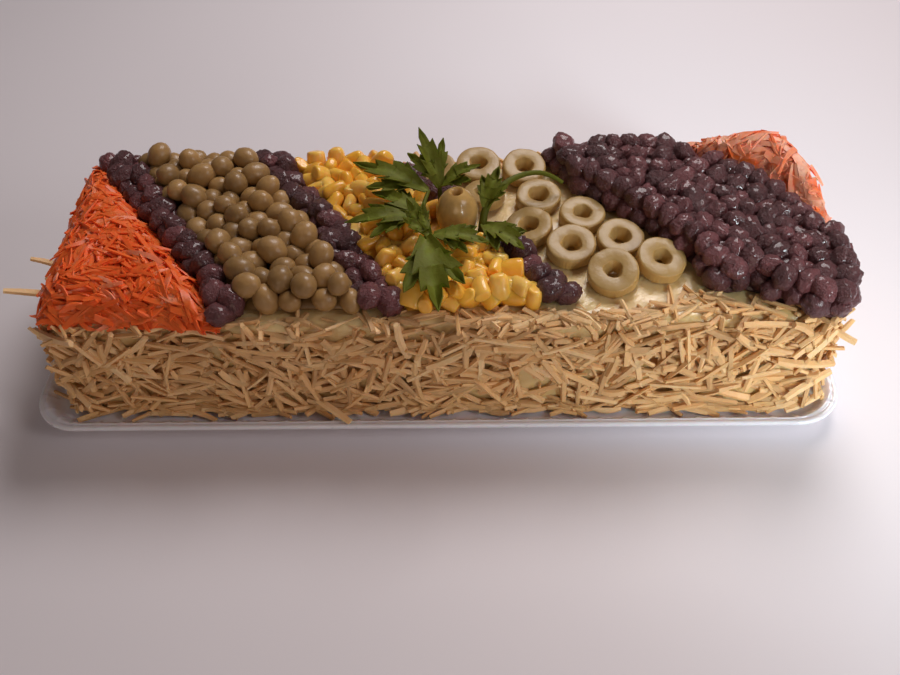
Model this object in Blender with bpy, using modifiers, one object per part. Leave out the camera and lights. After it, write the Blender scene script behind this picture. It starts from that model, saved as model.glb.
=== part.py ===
"""A cold sandwich cake on its platter, at its real size.

A loaf of crustless bread under mayonnaise, its sides coated in fried potato sticks and its top
laid in slanting bands of grated carrot, raisins, peas, sweetcorn and sliced olives, with a whole
olive and parsley in the middle. X runs along the cake, Y to the back, Z up from the table.
The origin is on the platter's underside, below the middle of the cake. Units are metres.
"""

import collections
import math
import random

import bmesh
import bpy
from mathutils import Matrix, Vector

# Clearance between pieces that touch, and half of it where two toppings meet.
GAP = 0.0003
SEAM = 0.00025

# Platter.
PLATTER_LENGTH = 0.304
PLATTER_WIDTH = 0.113
PLATTER_SHIFT = -0.0028
PLATTER_CORNER = 0.017
PLATTER_FOOT = 0.012
PLATTER_FLOOR = 0.005
PLATTER_RIM = 0.0092
RIM_WIDTH = 0.006

# Cake: the mayonnaise's faces, which the potato sticks lie on.
CAKE_LENGTH = 0.2800
CAKE_WIDTH = 0.0885
CAKE_HEIGHT = 0.047
CAKE_CORNER = 0.008
CAKE_SHOULDER = 0.0025
CAKE_BOTTOM = PLATTER_FLOOR + GAP
CAKE_TOP = PLATTER_FLOOR + CAKE_HEIGHT
TOPPING_BOTTOM = CAKE_TOP + GAP

# Potato sticks: their square section, the lengths they break to, how many lie on each face, and
# the spread and the most of their lean in degrees.
STICK_THICKNESS = 0.0022
STICK_LENGTHS = (0.012, 0.026)
STRAY_THICKNESS = 0.0020
STICKS_ALONG = 42
STICKS_ACROSS = 12
STICK_LEAN = 42
STEEPEST_LEAN = 88
STICK_SEED = 11

# Toppings: the pieces' least and greatest radius, the core's height and how far in it reaches
# that height, how close the pieces lie (1 just touches) and how much each axis may be flattened.
Topping = collections.namedtuple("Topping", "radii height slope closeness flats")
RAISIN_ROW = Topping((0.0036, 0.0044), 0.0035, 0.005, 0.84, (0.88, 0.80, 0.70))
RAISIN_FIELD = Topping((0.0046, 0.0057), 0.0085, 0.012, 0.97, (0.88, 0.80, 0.70))
PEA_BAND = Topping((0.0044, 0.0051), 0.0075, 0.012, 0.97, (0.92, 0.92, 0.88))
CORN_BAND = Topping((0.0042, 0.0051), 0.0050, 0.009, 0.96, (0.90, 0.85, 0.60))
SUNK_SHARE = 0.40
BALL_REACH = 0.98
PACKING_PASSES = 60
PACKING_TRIALS = 2500
LEAST_SHARE = 0.85
LEAST_APART = 0.82
CORE_INSET = 0.0022
CORE_EDGE = 0.0008
CORE_STATIONS = 7
CORE_COLUMNS = 4

# Grated carrot: the heap's core, and the shreds' section, lengths, spacing and slope in degrees.
CARROT_HEAP = 0.0090
CARROT_SLOPE = 0.011
SHRED_SECTION = (0.0024, 0.0013)
SHRED_LENGTHS = (0.012, 0.024)
SHRED_SPACING = 0.0042
SHRED_PITCH = (4, 13)
SHRED_LIFT = 0.0009
SHRED_REACH = 1.85

# Olives.
SLICE_THICKNESS = 0.0050
SLICE_HOLE = 0.0037
WHOLE_OLIVE = (0.0076, 0.0205)
OLIVE_PLACE = (0.0080, 0.0005)
CLEARING = (0.0065, -0.0020, 0.0128)

# Lines along which one topping meets the next, from the back of the cake to the front.
LEFT_END = ((-0.1415, 0.0425), (-0.1420, 0.0050), (-0.1420, -0.0380), (-0.1370, -0.0450))
CARROT_TO_RAISINS = ((-0.1385, 0.0440), (-0.1290, 0.0310), (-0.1150, 0.0120), (-0.0985, -0.0090),
                     (-0.0845, -0.0270), (-0.0760, -0.0465))
RAISINS_TO_PEAS = ((-0.1220, 0.0450), (-0.1080, 0.0220), (-0.0935, 0.0000), (-0.0790, -0.0195),
                   (-0.0655, -0.0445))
PEAS_TO_RAISINS = ((-0.0760, 0.0450), (-0.0625, 0.0230), (-0.0475, 0.0020), (-0.0345, -0.0210),
                   (-0.0225, -0.0440))
RAISINS_TO_CORN = ((-0.0620, 0.0450), (-0.0490, 0.0220), (-0.0340, 0.0010), (-0.0200, -0.0230),
                   (-0.0080, -0.0430))
CORN_TO_RAISINS = ((-0.0245, 0.0450), (-0.0060, 0.0200), (0.0155, -0.0020), (0.0290, -0.0200),
                   (0.0400, -0.0385))
RAISINS_TO_OLIVES = ((-0.0110, 0.0450), (-0.0095, 0.0300), (-0.0020, 0.0240), (0.0090, 0.0170),
                     (0.0250, -0.0020), (0.0400, -0.0200), (0.0530, -0.0370))
OLIVES_TO_FIELD = ((0.0430, 0.0450), (0.0500, 0.0250), (0.0630, 0.0150), (0.0765, 0.0010),
                   (0.0925, -0.0190), (0.0975, -0.0320))
FIELD_FRONT = ((0.1050, -0.0350), (0.1120, -0.0310), (0.1180, -0.0400), (0.1260, -0.0410),
               (0.1300, -0.0460), (0.1420, -0.0475), (0.1465, -0.0380), (0.1475, -0.0150),
               (0.1445, -0.0080))
FIELD_TO_CARROT = ((0.0940, 0.0450), (0.1110, 0.0310), (0.1250, 0.0190), (0.1345, 0.0070),
                   (0.1405, -0.0070))
RIGHT_END = ((0.1300, 0.0450), (0.1385, 0.0390), (0.1435, 0.0240), (0.1450, 0.0060),
             (0.1440, -0.0060))

# Olive slices: x, y, outer radius, and the way each leans, as turns about X and Y in degrees.
OLIVE_SLICES = (
    (-0.0010, 0.0345, 0.0082, 12, -6),
    (0.0158, 0.0375, 0.0088, 10, 2),
    (0.0338, 0.0350, 0.0086, 12, 5),
    (0.0180, 0.0200, 0.0082, -4, -5),
    (0.0390, 0.0178, 0.0085, 5, 3),
    (0.0550, 0.0070, 0.0086, 3, 4),
    (0.0350, 0.0000, 0.0088, 7, -6),
    (0.0680, -0.0070, 0.0088, 6, 3),
    (0.0500, -0.0110, 0.0089, 9, 2),
    (0.0640, -0.0258, 0.0091, 14, -3),
    (0.0815, -0.0195, 0.0091, 10, 8),
)

POTATO = (0.62, 0.43, 0.18)
CARROT = (0.80, 0.16, 0.04)
RAISIN = (0.030, 0.018, 0.026)
PEA = (0.26, 0.20, 0.08)
CORN = (0.78, 0.42, 0.08)
OLIVE = (0.42, 0.34, 0.13)
WHOLE_OLIVE_SKIN = (0.30, 0.26, 0.08)
PARSLEY = (0.05, 0.14, 0.05)
CHINA = (0.82, 0.84, 0.88)


def clear_scene():
    for old in list(bpy.data.objects):
        bpy.data.objects.remove(old, do_unlink=True)


def new_collection(name):
    made = bpy.data.collections.new(name)
    bpy.context.scene.collection.children.link(made)
    return made


def finish(name, colour, roughness):
    """The Principled material of one food."""
    made = bpy.data.materials.new(name)
    made.use_nodes = True
    shader = made.node_tree.nodes["Principled BSDF"]
    shader.inputs["Base Color"].default_value = (*colour, 1.0)
    shader.inputs["Roughness"].default_value = roughness
    shader.inputs["Metallic"].default_value = 0.0
    return made


def from_bmesh(bm, name):
    """A new object, with its normals outward, from a bmesh that is then freed."""
    bmesh.ops.recalc_face_normals(bm, faces=bm.faces)
    mesh = bpy.data.meshes.new(name)
    bm.to_mesh(mesh)
    bm.free()
    return bpy.data.objects.new(name, mesh)


def place(obj, collection, material):
    """Puts a finished sub-part in the cake's collection, smooth over all but its sharp edges."""
    collection.objects.link(obj)
    obj.data.materials.clear()
    obj.data.materials.append(material)
    obj.data.shade_smooth()
    obj.data.set_sharp_from_angle(angle=math.radians(38))


def rounded_rectangle(length, width, radius, centre_x=0.0, steps=4):
    """The outline's points, anticlockwise, each corner a quarter circle."""
    points = []
    for corner, (sx, sy) in enumerate(((1, 1), (-1, 1), (-1, -1), (1, -1))):
        cx = centre_x + sx * (length / 2 - radius)
        cy = sy * (width / 2 - radius)
        for step in range(steps + 1):
            turn = math.radians(90 * (corner + step / steps))
            points.append((cx + radius * math.cos(turn), cy + radius * math.sin(turn)))
    return points


def lofted(name, rings):
    """A closed solid through rings of (x, y, z) points that all have the same number of them."""
    bm = bmesh.new()
    loops = [[bm.verts.new(point) for point in ring] for ring in rings]
    for lower, upper in zip(loops, loops[1:]):
        for a in range(len(lower)):
            b = (a + 1) % len(lower)
            bm.faces.new((lower[a], lower[b], upper[b], upper[a]))
    bm.faces.new(list(reversed(loops[0])))
    bm.faces.new(loops[-1])
    return from_bmesh(bm, name)


def raised(name, outline, bottom, wall, steps):
    """A solid on an outline: straight up by the wall, then in and up by each (in, up) step."""
    bm = bmesh.new()
    base = bm.faces.new([bm.verts.new((x, y, bottom)) for x, y in outline])
    grown = bmesh.ops.extrude_face_region(bm, geom=[base])["geom"]
    rising = [item for item in grown if isinstance(item, bmesh.types.BMVert)]
    bmesh.ops.translate(bm, verts=rising, vec=(0, 0, wall))
    top = next(item for item in grown if isinstance(item, bmesh.types.BMFace))
    for inward, upward in steps:
        bmesh.ops.inset_region(bm, faces=[top], thickness=inward, use_even_offset=True)
        bmesh.ops.translate(bm, verts=top.verts, vec=(0, 0, upward))
    return from_bmesh(bm, name)


def apply_modifier(obj, modifier):
    bpy.ops.object.select_all(action="DESELECT")
    bpy.context.view_layer.objects.active = obj
    obj.select_set(True)
    bpy.ops.object.modifier_apply(modifier=modifier.name)


def keep_largest_shell(obj):
    """Drops loose scraps, and fills a hollow that fusing has sealed by taking out its wall."""
    bm = bmesh.new()
    bm.from_mesh(obj.data)
    unseen = set(bm.verts)
    shells = []
    while unseen:
        shell = set()
        front = [unseen.pop()]
        while front:
            vert = front.pop()
            shell.add(vert)
            near = {edge.other_vert(vert) for edge in vert.link_edges} & unseen
            unseen -= near
            front.extend(near)
        shells.append(shell)
    largest = max(shells, key=len)
    extra = [vert for shell in shells if shell is not largest for vert in shell]
    bmesh.ops.delete(bm, geom=extra, context="VERTS")
    bm.to_mesh(obj.data)
    bm.free()


def fuse(core, pieces):
    """One Boolean union joins every piece to its core, and the pieces are then removed."""
    gathered = new_collection("pieces of " + core.name)
    bpy.context.scene.collection.objects.link(core)
    for piece in pieces:
        gathered.objects.link(piece)
    union = core.modifiers.new("Fused pieces", "BOOLEAN")
    union.operation = "UNION"
    union.operand_type = "COLLECTION"
    union.collection = gathered
    union.solver = "MANIFOLD"
    apply_modifier(core, union)
    for piece in pieces:
        bpy.data.objects.remove(piece, do_unlink=True)
    bpy.data.collections.remove(gathered)
    bpy.context.scene.collection.objects.unlink(core)
    keep_largest_shell(core)
    return core


def cut_clearing(core, name):
    """Takes the round clearing that the whole olive and the parsley stand in out of a core."""
    x, y, radius = CLEARING
    bm = bmesh.new()
    bmesh.ops.create_cone(bm, cap_ends=True, segments=20, radius1=radius, radius2=radius,
                          depth=0.06, matrix=Matrix.Translation((x, y, TOPPING_BOTTOM)))
    cutter = from_bmesh(bm, name)
    cutter.hide_render = True
    cutter.display_type = "WIRE"
    scene = bpy.context.scene.collection
    scene.objects.link(core)
    scene.objects.link(cutter)
    cut = core.modifiers.new("Clearing", "BOOLEAN")
    cut.operation = "DIFFERENCE"
    cut.object = cutter
    apply_modifier(core, cut)
    bpy.data.objects.remove(cutter, do_unlink=True)
    scene.objects.unlink(core)


def between(left, right):
    """The outline of the topping between two lines that both run from back to front."""
    near = [(x + SEAM, y) for x, y in left]
    far = [(x - SEAM, y) for x, y in reversed(right)]
    return near + far


def edge_near(outline, x, y):
    """How deep a point is inside an outline, negative outside it, and its way straight inward."""
    point = Vector((x, y))
    inside = False
    nearest = Vector((math.inf, 0))
    for start, end in zip(outline, outline[1:] + outline[:1]):
        a = Vector(start)
        along = Vector(end) - a
        share = max(0.0, min(1.0, (point - a).dot(along) / along.length_squared))
        offset = point - a - along * share
        if offset.length < nearest.length:
            nearest = offset
        if (start[1] > y) != (end[1] > y):
            crossing = start[0] + (y - start[1]) * (end[0] - start[0]) / (end[1] - start[1])
            inside ^= x < crossing
    depth = nearest.length if inside else -nearest.length
    return depth, nearest.normalized() * (1 if inside else -1)


def depth_inside(outline, x, y):
    return edge_near(outline, x, y)[0]


def first_places(outline, radii, spacing, draw):
    """Staggered rows of places over an outline, each a little off its row, with a radius."""
    xs = [x for x, y in outline]
    ys = [y for x, y in outline]
    spots = []
    y = min(ys)
    while y < max(ys):
        x = min(xs) + draw.uniform(0, spacing)
        while x < max(xs):
            if depth_inside(outline, x, y) > 0:
                spot = Vector((x, y + draw.uniform(-0.2, 0.2) * spacing))
                spots.append((spot, draw.uniform(*radii)))
            x += spacing
        y += spacing * math.sqrt(3) / 2
    return spots


def any_places(outline, radius, draw):
    """Places anywhere in an outline's box, tried in turn where the settled pieces leave room."""
    xs = [x for x, y in outline]
    ys = [y for x, y in outline]
    return [(Vector((draw.uniform(min(xs), max(xs)), draw.uniform(min(ys), max(ys)))), radius)
            for trial in range(PACKING_TRIALS)]


def packed(outline, radii, closeness, seed):
    """Places and radii of round pieces that have pushed each other apart inside an outline."""
    cx, cy, reach = CLEARING
    middle = Vector((cx, cy))
    draw = random.Random(seed)
    spots = first_places(outline, radii, closeness * sum(radii), draw)
    for settling in range(PACKING_PASSES):
        for number, (spot, radius) in enumerate(spots):
            for other, other_radius in spots[:number]:
                apart = spot - other
                overlap = closeness * (radius + other_radius) - apart.length
                if overlap > 0:
                    push = apart.normalized() * overlap / 2
                    spot += push
                    other -= push
        for spot, radius in spots:
            depth, inward = edge_near(outline, *spot)
            spot += inward * max(0.0, radius - depth)
            away = spot - middle
            spot += away.normalized() * max(0.0, reach + radius - away.length)
    places = []
    for spot, radius in spots + any_places(outline, radii[0], draw):
        room = min(depth_inside(outline, *spot), (spot - middle).length - reach)
        radius = min(radius, room)
        if radius < LEAST_SHARE * radii[0]:
            continue
        if all(math.hypot(spot.x - x, spot.y - y) > LEAST_APART * closeness * (radius + r)
               for x, y, r in places):
            places.append((*spot, radius))
    return places


def heap_height(depth, height, slope):
    """The core's height above its foot, at a distance in from its outline."""
    return height * math.sin(math.pi / 2 * min(1.0, depth / slope))


def point_along(line, share):
    """The point that lies at a share of a line's length."""
    left = share * sum(math.dist(a, b) for a, b in zip(line, line[1:]))
    for a, b in zip(line, line[1:]):
        length = math.dist(a, b)
        if left <= length:
            return Vector(a).lerp(Vector(b), left / length)
        left -= length
    return Vector(line[-1])


def heap_core(name, left, right, height, slope):
    """The low mound that carries a topping's pieces, lofted from the cake's back to its front."""
    outline = between(left, right)
    end = CORE_INSET / math.dist(left[0], left[-1])
    rings = []
    for station in range(CORE_STATIONS + 1):
        share = end + (1 - 2 * end) * station / CORE_STATIONS
        start = point_along(left, share)
        across = point_along(right, share) - start
        inset = min(CORE_INSET / across.length, 0.3)
        feet = [start + across * inset, start + across * (1 - inset)]
        ring = [(*feet[0], TOPPING_BOTTOM)]
        for step in range(CORE_COLUMNS + 1):
            spot = feet[0].lerp(feet[1], step / CORE_COLUMNS)
            rise = max(heap_height(depth_inside(outline, *spot), height, slope), CORE_EDGE)
            ring.append((*spot, TOPPING_BOTTOM + rise))
        ring.append((*feet[1], TOPPING_BOTTOM))
        rings.append(ring)
    return lofted(name, rings)


def resting_height(outline, x, y, radius, topping):
    """The height of a piece's centre: on the cake at the heap's edge, and sunk into the core."""
    core = heap_height(depth_inside(outline, x, y), topping.height, topping.slope)
    return TOPPING_BOTTOM + max(radius, core + SUNK_SHARE * radius)


def any_turn(draw):
    turn = Matrix.Rotation(draw.uniform(0, math.tau), 4, "Z")
    return turn @ Matrix.Rotation(draw.uniform(0, math.pi), 4, "X")


def ball(name, centre, radius, flats, turn):
    """A rounded piece of twenty faces, flattened along its own axes and turned."""
    bm = bmesh.new()
    shape = Matrix.Translation(centre) @ turn @ Matrix.Diagonal((*flats, 1.0))
    bmesh.ops.create_icosphere(bm, subdivisions=1, radius=BALL_REACH * radius, matrix=shape)
    return from_bmesh(bm, name)


def heap(name, left, right, topping, seed, clearing=False):
    """A heap of round pieces fused to their core."""
    outline = between(left, right)
    core = heap_core(name, left, right, topping.height, topping.slope)
    if clearing:
        cut_clearing(core, name + " clearing")
    draw = random.Random(seed + 1)
    pieces = []
    for x, y, radius in packed(outline, topping.radii, topping.closeness, seed):
        centre = (x, y, resting_height(outline, x, y, radius, topping))
        shape = [draw.uniform(least, 1.0) for least in topping.flats]
        pieces.append(ball(name + " piece", centre, radius, shape, any_turn(draw)))
    return fuse(core, pieces)


def strip(name, centre, size, turn):
    """A straight stick or shred of (length, width, thickness), turned about its centre."""
    bm = bmesh.new()
    shape = Matrix.Translation(centre) @ turn @ Matrix.Diagonal((*size, 1.0))
    bmesh.ops.create_cube(bm, size=1.0, matrix=shape)
    return from_bmesh(bm, name)


def platter():
    """A shallow oblong dish with a sloping rim and a plain flat foot."""
    profile = (
        (PLATTER_FOOT, 0.0),
        (PLATTER_FOOT - 0.0012, 0.0016),
        (0.0012, PLATTER_RIM - 0.0026),
        (0.0, PLATTER_RIM - 0.0016),
        (0.0, PLATTER_RIM - 0.0004),
        (0.0007, PLATTER_RIM),
        (0.0016, PLATTER_RIM - 0.0002),
        (RIM_WIDTH - 0.0012, PLATTER_FLOOR + 0.0006),
        (RIM_WIDTH, PLATTER_FLOOR),
    )
    rings = []
    for inset, height in profile:
        outline = rounded_rectangle(PLATTER_LENGTH - 2 * inset, PLATTER_WIDTH - 2 * inset,
                                    PLATTER_CORNER - inset, PLATTER_SHIFT)
        rings.append([(x, y, height) for x, y in outline])
    return lofted("platter", rings)


def side_sticks(draw):
    """Sticks lying every way on the four faces, which is how the coat is pressed on."""
    half_length = CAKE_LENGTH / 2
    half_width = CAKE_WIDTH / 2
    faces = (
        (Vector((0, -half_width)), 0, half_length, STICKS_ALONG),
        (Vector((half_length, 0)), 90, half_width, STICKS_ACROSS),
        (Vector((0, half_width)), 180, half_length, STICKS_ALONG),
        (Vector((-half_length, 0)), 270, half_width, STICKS_ACROSS),
    )
    sticks = []
    for middle, heading, half_run, count in faces:
        facing = Matrix.Rotation(math.radians(heading), 4, "Z")
        outward = facing @ Vector((0, -1, 0))
        run = facing @ Vector((1, 0, 0))
        room = half_run - CAKE_CORNER
        for number in range(count):
            length = draw.uniform(*STICK_LENGTHS)
            lean = max(-STEEPEST_LEAN, min(STEEPEST_LEAN, draw.gauss(0, STICK_LEAN)))
            rise = abs(math.sin(math.radians(lean))) * length / 2 + STICK_THICKNESS
            low = CAKE_BOTTOM + rise
            high = CAKE_TOP - 0.0012 - rise
            along = room * (2 * (number + draw.uniform(0.1, 0.9)) / count - 1)
            reach = STICK_THICKNESS / 2 * draw.uniform(0.2, 1.15)
            centre = Vector((*middle, 0)) + run * along + outward * reach
            centre.z = draw.uniform(low, high)
            turn = (facing @ Matrix.Rotation(math.radians(-lean), 4, "Y")
                    @ Matrix.Rotation(math.radians(draw.uniform(-4, 4)), 4, "Z"))
            size = (length, STICK_THICKNESS, STICK_THICKNESS)
            sticks.append(strip("stick", centre, size, turn))
    return sticks


def stray_sticks():
    """The few sticks that stand out past the coat, each from its root to its tip."""
    ends = (
        ((-0.1380, -0.0250, 0.0440), (-0.1585, -0.0320, 0.0505)),
        ((-0.1380, -0.0140, 0.0450), (-0.1530, -0.0130, 0.0495)),
        ((0.1370, -0.0400, 0.0440), (0.1475, -0.0460, 0.0400)),
        ((0.1370, -0.0300, 0.0430), (0.1480, -0.0310, 0.0370)),
    )
    sticks = []
    for root, tip in ends:
        root = Vector(root)
        along = Vector(tip) - root
        turn = along.to_track_quat("X", "Z").to_matrix().to_4x4()
        size = (along.length, STRAY_THICKNESS, STRAY_THICKNESS)
        sticks.append(strip("stray stick", root + along / 2, size, turn))
    return sticks


def cake():
    """The loaf under its mayonnaise, with the potato sticks fused to its sides."""
    outline = rounded_rectangle(CAKE_LENGTH, CAKE_WIDTH, CAKE_CORNER)
    near, far = 0.29 * CAKE_SHOULDER, 0.71 * CAKE_SHOULDER
    shoulder = ((near, far), (far, near))
    wall = CAKE_TOP - CAKE_BOTTOM - CAKE_SHOULDER
    loaf = raised("cake", outline, CAKE_BOTTOM, wall, shoulder)
    draw = random.Random(STICK_SEED)
    return fuse(loaf, side_sticks(draw) + stray_sticks())


def carrot_heap(name, left, right, seed):
    """Shreds lying every way over a mound, each kept inside the outline of its heap."""
    outline = between(left, right)
    core = heap_core(name, left, right, CARROT_HEAP, CARROT_SLOPE)
    draw = random.Random(seed)
    pieces = []
    for x, y, spacing in packed(outline, (SHRED_SPACING, SHRED_SPACING), 1.0, seed):
        depth = depth_inside(outline, x, y)
        length = min(draw.uniform(*SHRED_LENGTHS), SHRED_REACH * depth)
        floor = heap_height(depth, CARROT_HEAP, CARROT_SLOPE)
        pitch = math.radians(draw.uniform(*SHRED_PITCH))
        lift = math.sin(pitch) * length / 2 + SHRED_SECTION[1]
        z = TOPPING_BOTTOM + max(floor + draw.uniform(0.0, SHRED_LIFT), lift)
        turn = Matrix.Rotation(draw.uniform(0, math.tau), 4, "Z") @ Matrix.Rotation(pitch, 4, "Y")
        pieces.append(strip("shred", (x, y, z), (length, *SHRED_SECTION), turn))
    return fuse(core, pieces)


def turned(name, profile, steps):
    """A solid of revolution about Z from (radius, height) points, by a Screw modifier."""
    bm = bmesh.new()
    verts = [bm.verts.new((radius, 0, height)) for radius, height in profile]
    for a, b in zip(verts, verts[1:]):
        bm.edges.new((a, b))
    if profile[0][0] > 0:
        bm.edges.new((verts[-1], verts[0]))
    mesh = bpy.data.meshes.new(name)
    bm.to_mesh(mesh)
    bm.free()
    obj = bpy.data.objects.new(name, mesh)
    screw = obj.modifiers.new("Turn", "SCREW")
    screw.steps = steps
    screw.render_steps = steps
    screw.use_merge_vertices = True
    screw.merge_threshold = 0.00005
    screw.use_normal_calculate = True
    bpy.context.scene.collection.objects.link(obj)
    apply_modifier(obj, screw)
    bpy.context.scene.collection.objects.unlink(obj)
    bm = bmesh.new()
    bm.from_mesh(obj.data)
    bmesh.ops.recalc_face_normals(bm, faces=bm.faces)
    bm.to_mesh(obj.data)
    bm.free()
    return obj


def olive_slice(number, x, y, radius, about_x, about_y):
    """A ring cut across a stoned olive, leaning on the mayonnaise."""
    half = SLICE_THICKNESS / 2
    profile = (
        (SLICE_HOLE, half - 0.0003),
        (radius - 0.0009, half),
        (radius, 0.0),
        (radius - 0.0011, -half),
        (SLICE_HOLE, 0.0003 - half),
    )
    ring = turned(f"olive_slice_{number:02d}", profile, 12)
    ring.data.transform(Matrix.Rotation(math.radians(about_x), 4, "X")
                        @ Matrix.Rotation(math.radians(about_y), 4, "Y"))
    lowest = min(vert.co.z for vert in ring.data.vertices)
    ring.data.transform(Matrix.Translation((x, y, TOPPING_BOTTOM - lowest)))
    return ring


def whole_olive():
    """A stoned olive on end, with the pit's hole at its top."""
    radius, height = WHOLE_OLIVE
    hole = 0.0016
    profile = [(0.0, height - 0.0030), (hole, height - 0.0012)]
    for step in range(6):
        turn = math.radians(76 - step * 166 / 5)
        profile.append((radius * math.cos(turn), height / 2 + height / 2 * math.sin(turn)))
    profile.append((0.0, profile[-1][1]))
    olive = turned("whole_olive", profile, 12)
    lowest = min(vert.co.z for vert in olive.data.vertices)
    olive.data.transform(Matrix.Translation((*OLIVE_PLACE, TOPPING_BOTTOM - lowest)))
    return olive


# A parsley leaf's right half, from its base to its tip: the edge's width and run, and the rib's run.
LEAF_HALF = ((0.16, 0.12, 0.12), (0.62, 0.46, 0.34), (0.26, 0.50, 0.46), (0.36, 0.76, 0.70))
LEAF_THICKNESS = 0.0008


def leaf(base, tip, width, bow):
    """A thin wavy lobed blade from base to tip. bow lifts its middle."""
    base = Vector(base)
    along = Vector(tip) - base
    side = along.cross(Vector((0, 0, 1)))
    if side.length < 0.3 * along.length:
        side = Vector((1, 0.2, 0))
    side.normalize()
    up = side.cross(along).normalized()
    bm = bmesh.new()

    def vert(across, run, fold):
        lift = bow * math.sin(math.pi * run) + fold
        return bm.verts.new(base + along * run + side * across * width + up * lift)

    start = vert(0, 0, 0)
    end = vert(0, 1, 0)
    stations = []
    for reach, edge_run, rib_run in LEAF_HALF:
        stations.append((vert(-reach, edge_run, 0.0009), vert(0, rib_run, -0.0004),
                         vert(reach, edge_run, 0.0009)))
    bm.faces.new((start, stations[0][1], stations[0][0]))
    bm.faces.new((start, stations[0][2], stations[0][1]))
    for near, far in zip(stations, stations[1:]):
        for a, b in ((0, 1), (1, 2)):
            bm.faces.new((near[a], near[b], far[a]))
            bm.faces.new((near[b], far[b], far[a]))
    bm.faces.new((stations[-1][0], stations[-1][1], end))
    bm.faces.new((stations[-1][1], stations[-1][2], end))
    blade = from_bmesh(bm, "leaf")
    wall = blade.modifiers.new("Wall", "SOLIDIFY")
    wall.thickness = LEAF_THICKNESS
    wall.offset = 0.0
    bpy.context.scene.collection.objects.link(blade)
    apply_modifier(blade, wall)
    bpy.context.scene.collection.objects.unlink(blade)
    return blade


def stem(name, route, radius):
    """A round stalk along a route, made a mesh with its caps welded."""
    curve = bpy.data.curves.new(name, "CURVE")
    curve.dimensions = "3D"
    curve.bevel_depth = radius
    curve.bevel_resolution = 0
    curve.use_fill_caps = True
    spline = curve.splines.new("POLY")
    spline.points.add(len(route) - 1)
    for point, place_at in zip(spline.points, route):
        point.co = (*place_at, 1.0)
    guide = bpy.data.objects.new(name + " route", curve)
    bpy.context.scene.collection.objects.link(guide)
    bpy.context.view_layer.update()
    graph = bpy.context.evaluated_depsgraph_get()
    mesh = bpy.data.meshes.new_from_object(guide.evaluated_get(graph))
    bm = bmesh.new()
    bm.from_mesh(mesh)
    bmesh.ops.remove_doubles(bm, verts=bm.verts, dist=0.00002)
    bm.to_mesh(mesh)
    bm.free()
    stalk = bpy.data.objects.new(name, mesh)
    stalk.matrix_world = guide.matrix_world
    bpy.data.objects.remove(guide, do_unlink=True)
    return stalk


# Parsley sprigs: the stalk's route, its radius, and each leaf's base, tip, width and bow.
SPRIGS = {
    "parsley_left": (
        ((-0.0010, -0.0080, 0.0532), (-0.0030, -0.0075, 0.0600), (-0.0042, -0.0050, 0.0665),
         (-0.0036, 0.0010, 0.0680), (-0.0020, 0.0070, 0.0685)), 0.0009,
        (((-0.0022, 0.0060, 0.0685), (-0.0285, 0.0205, 0.0690), 0.012, 0.0030),
         ((-0.0040, -0.0050, 0.0665), (-0.0215, 0.0065, 0.0670), 0.009, 0.0025),
         ((-0.0042, -0.0060, 0.0662), (-0.0295, -0.0085, 0.0665), 0.011, 0.0025)),
    ),
    "parsley_front": (
        ((0.0030, -0.0115, 0.0532), (0.0015, -0.0125, 0.0600), (-0.0010, -0.0150, 0.0655),
         (-0.0025, -0.0185, 0.0680)), 0.0009,
        (((-0.0022, -0.0175, 0.0678), (0.0025, -0.0460, 0.0610), 0.015, 0.0025),
         ((0.0000, -0.0142, 0.0652), (0.0185, -0.0185, 0.0650), 0.010, 0.0020),
         ((-0.0009, -0.0147, 0.0650), (-0.0030, -0.0085, 0.0790), 0.009, -0.0020)),
    ),
    "parsley_back": (
        ((0.0030, 0.0080, 0.0532), (0.0015, 0.0100, 0.0610), (0.0018, 0.0125, 0.0670)), 0.0009,
        (((0.0018, 0.0115, 0.0660), (-0.0050, 0.0215, 0.0840), 0.010, 0.0015),
         ((0.0020, 0.0120, 0.0660), (0.0160, 0.0150, 0.0725), 0.009, 0.0020)),
    ),
    "parsley_right": (
        ((0.0165, -0.0060, 0.0532), (0.0175, -0.0050, 0.0600), (0.0190, 0.0000, 0.0670),
         (0.0260, 0.0080, 0.0710), (0.0350, 0.0150, 0.0700), (0.0430, 0.0190, 0.0660),
         (0.0480, 0.0190, 0.0615)), 0.0008,
        (((0.0178, -0.0045, 0.0612), (0.0315, -0.0190, 0.0625), 0.011, 0.0020),
         ((0.0188, -0.0010, 0.0660), (0.0240, 0.0100, 0.0745), 0.009, 0.0015)),
    ),
}


def sprig(name):
    """A parsley stalk with its leaves fused on."""
    route, radius, leaves = SPRIGS[name]
    stalk = stem(name, route, radius)
    return fuse(stalk, [leaf(*shape) for shape in leaves])


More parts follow.
